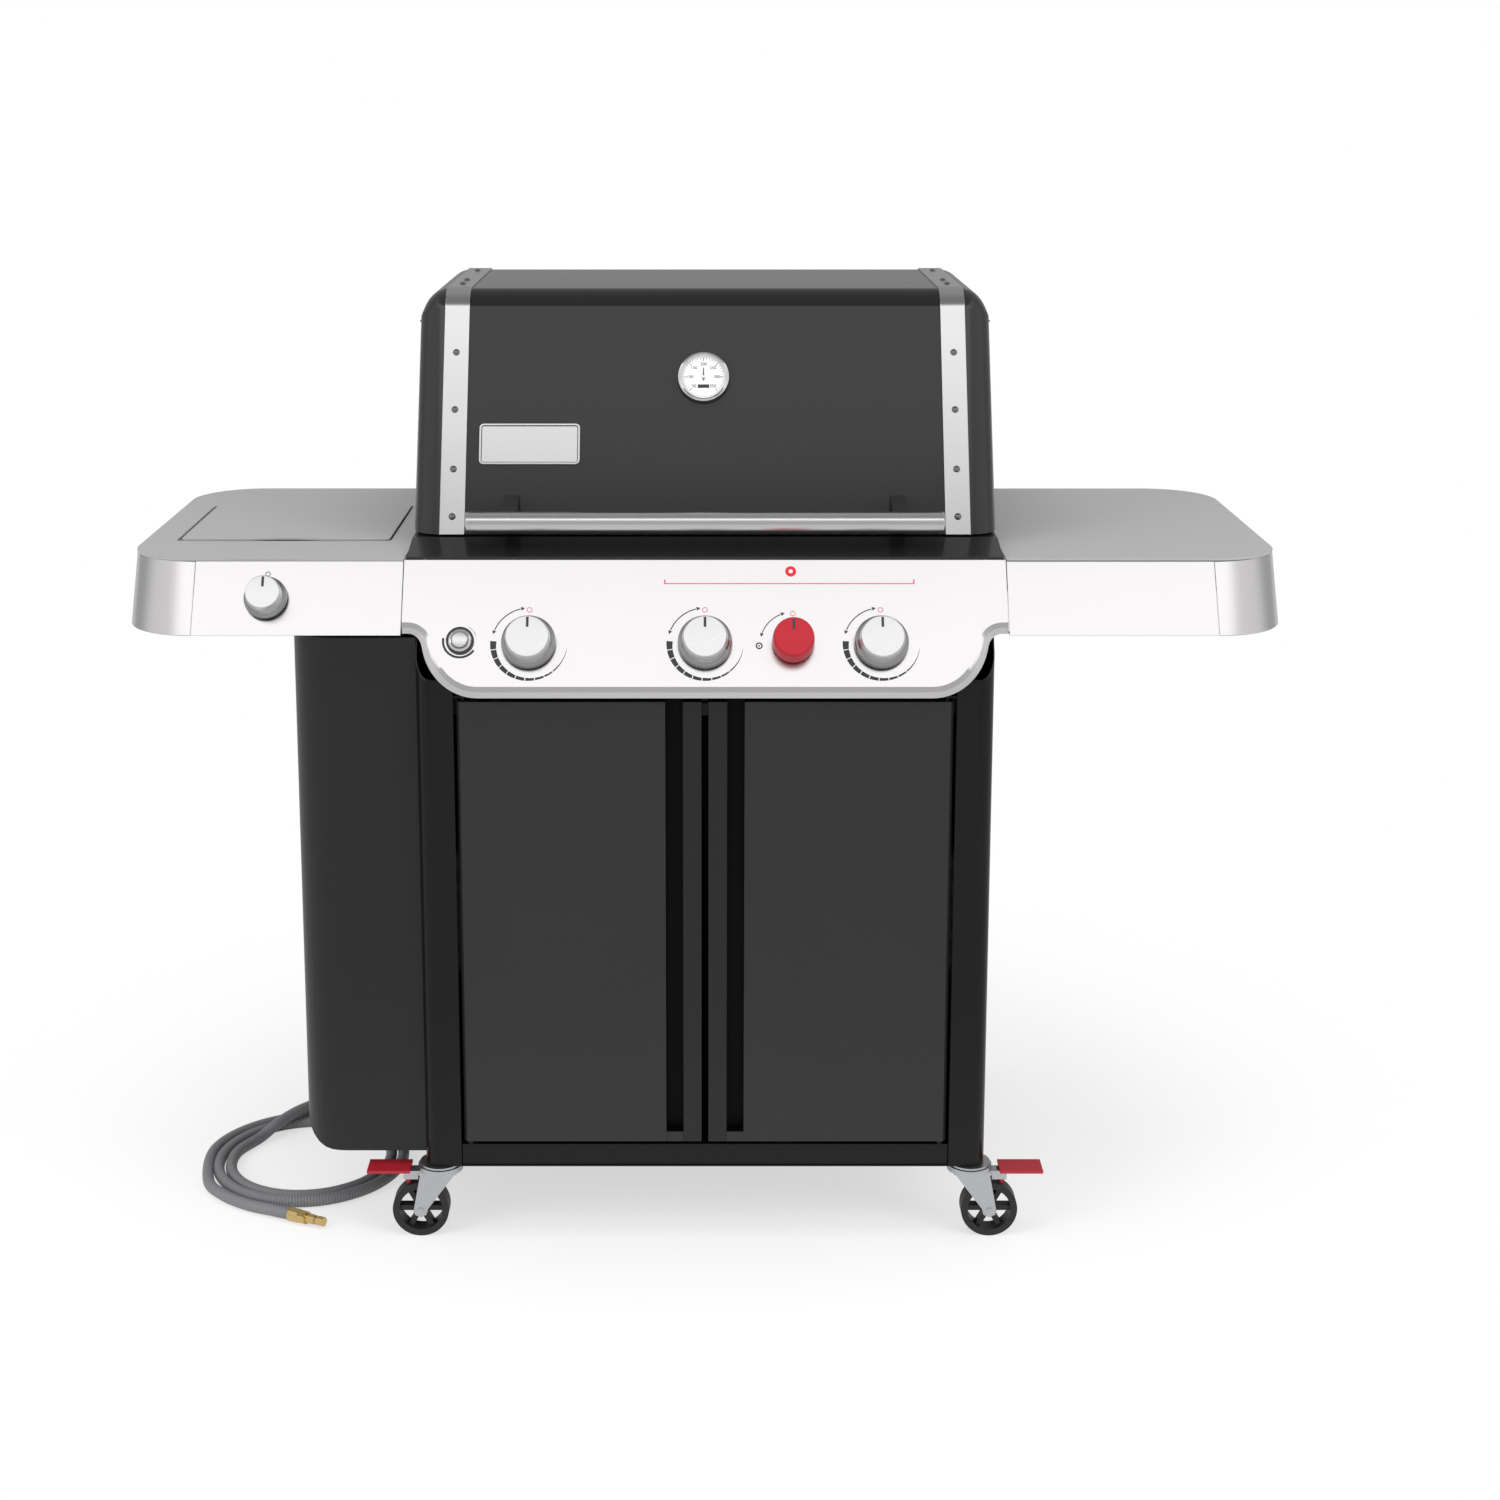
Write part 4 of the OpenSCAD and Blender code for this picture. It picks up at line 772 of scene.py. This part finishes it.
links.new(path.outputs["Is Camera Ray"], shine.inputs["Value"])
links.new(shine.outputs["Result"], glow.inputs["Strength"])
mixer = nodes.new("ShaderNodeMixShader")
links.new(whiten.outputs[0], mixer.inputs["Fac"])
links.new(bsdf.outputs[0], mixer.inputs[1])
links.new(glow.outputs[0], mixer.inputs[2])
links.new(mixer.outputs[0], nodes["Material Output"].inputs["Surface"])
floor_mesh.materials.append(floor_paint)
world = bpy.data.worlds.new("studio")
scene.world = world
world.use_nodes = True
nodes, links = world.node_tree.nodes, world.node_tree.links
back = nodes["Background"]
back.inputs["Color"].default_value = (1, 1, 1, 1)
path = nodes.new("ShaderNodeLightPath")
place = nodes.new("ShaderNodeTexCoord")
split = nodes.new("ShaderNodeSeparateXYZ")
links.new(place.outputs["Generated"], split.inputs[0])
# what metal mirrors: a bright bank in front between 38 and 50 degrees up, greyer sides, a dark ceiling and back
bank = nodes.new("ShaderNodeValToRGB")
stops = ((0.0, 0.42), (0.55, 0.42), (0.600, 0.45), (0.632, 1.5), (0.775, 1.5), (0.815, 0.2), (1.0, 0.25))
while len(bank.color_ramp.elements) < len(stops):
    bank.color_ramp.elements.new(1.0)
for element, (at, level) in zip(bank.color_ramp.elements, stops):
    element.position = at
    element.color = (level, level, level, 1)
links.new(split.outputs["Z"], bank.inputs["Fac"])
sideways = nodes.new("ShaderNodeMath")
sideways.operation = "ABSOLUTE"
links.new(split.outputs["X"], sideways.inputs[0])
side_part = nodes.new("ShaderNodeMapRange")
side_part.interpolation_type = "SMOOTHSTEP"
side_part.inputs["From Min"].default_value = 0.45
side_part.inputs["From Max"].default_value = 0.75
links.new(sideways.outputs[0], side_part.inputs["Value"])
back_part = nodes.new("ShaderNodeMapRange")
back_part.interpolation_type = "SMOOTHSTEP"
back_part.inputs["From Min"].default_value = -0.1
back_part.inputs["From Max"].default_value = 0.35
links.new(split.outputs["Y"], back_part.inputs["Value"])
with_sides = nodes.new("ShaderNodeMix")
with_sides.data_type = "FLOAT"
with_sides.inputs["B"].default_value = 0.68
links.new(side_part.outputs["Result"], with_sides.inputs["Factor"])
links.new(bank.outputs["Color"], with_sides.inputs["A"])
ceiling = nodes.new("ShaderNodeMix")
ceiling.data_type = "FLOAT"
ceiling.inputs["B"].default_value = 0.35
links.new(back_part.outputs["Result"], ceiling.inputs["Factor"])
links.new(with_sides.outputs["Result"], ceiling.inputs["A"])
mirrored = nodes.new("ShaderNodeMix")
mirrored.data_type = "FLOAT"
mirrored.inputs["A"].default_value = 0.8
links.new(path.outputs["Is Glossy Ray"], mirrored.inputs["Factor"])
links.new(ceiling.outputs["Result"], mirrored.inputs["B"])
seen = nodes.new("ShaderNodeMix")
seen.data_type = "FLOAT"
seen.inputs["B"].default_value = 1.0
links.new(path.outputs["Is Camera Ray"], seen.inputs["Factor"])
links.new(mirrored.outputs["Result"], seen.inputs["A"])
links.new(seen.outputs["Result"], back.inputs["Strength"])


def soft_lamp(name, at, target, size, watts):
    lamp = bpy.data.lights.new(name, "AREA")
    lamp.shape = "RECTANGLE"
    lamp.size, lamp.size_y = size
    lamp.energy = watts
    o = bpy.data.objects.new(name, lamp)
    o.location = at
    o.rotation_euler = (Vector(target) - Vector(at)).to_track_quat("-Z", "Y").to_euler()
    o.visible_glossy = False
    scene.collection.objects.link(o)


soft_lamp("lamp_left", (-3.2, -2.6, 2.6), (0, 0, 0.6), (1.8, 2.4), 60)
soft_lamp("lamp_right", (3.2, -2.6, 2.6), (0, 0, 0.6), (1.8, 2.4), 60)
soft_lamp("lamp_top", (0, -0.5, 4.2), (0, 0, 0.6), (3.0, 2.0), 50)
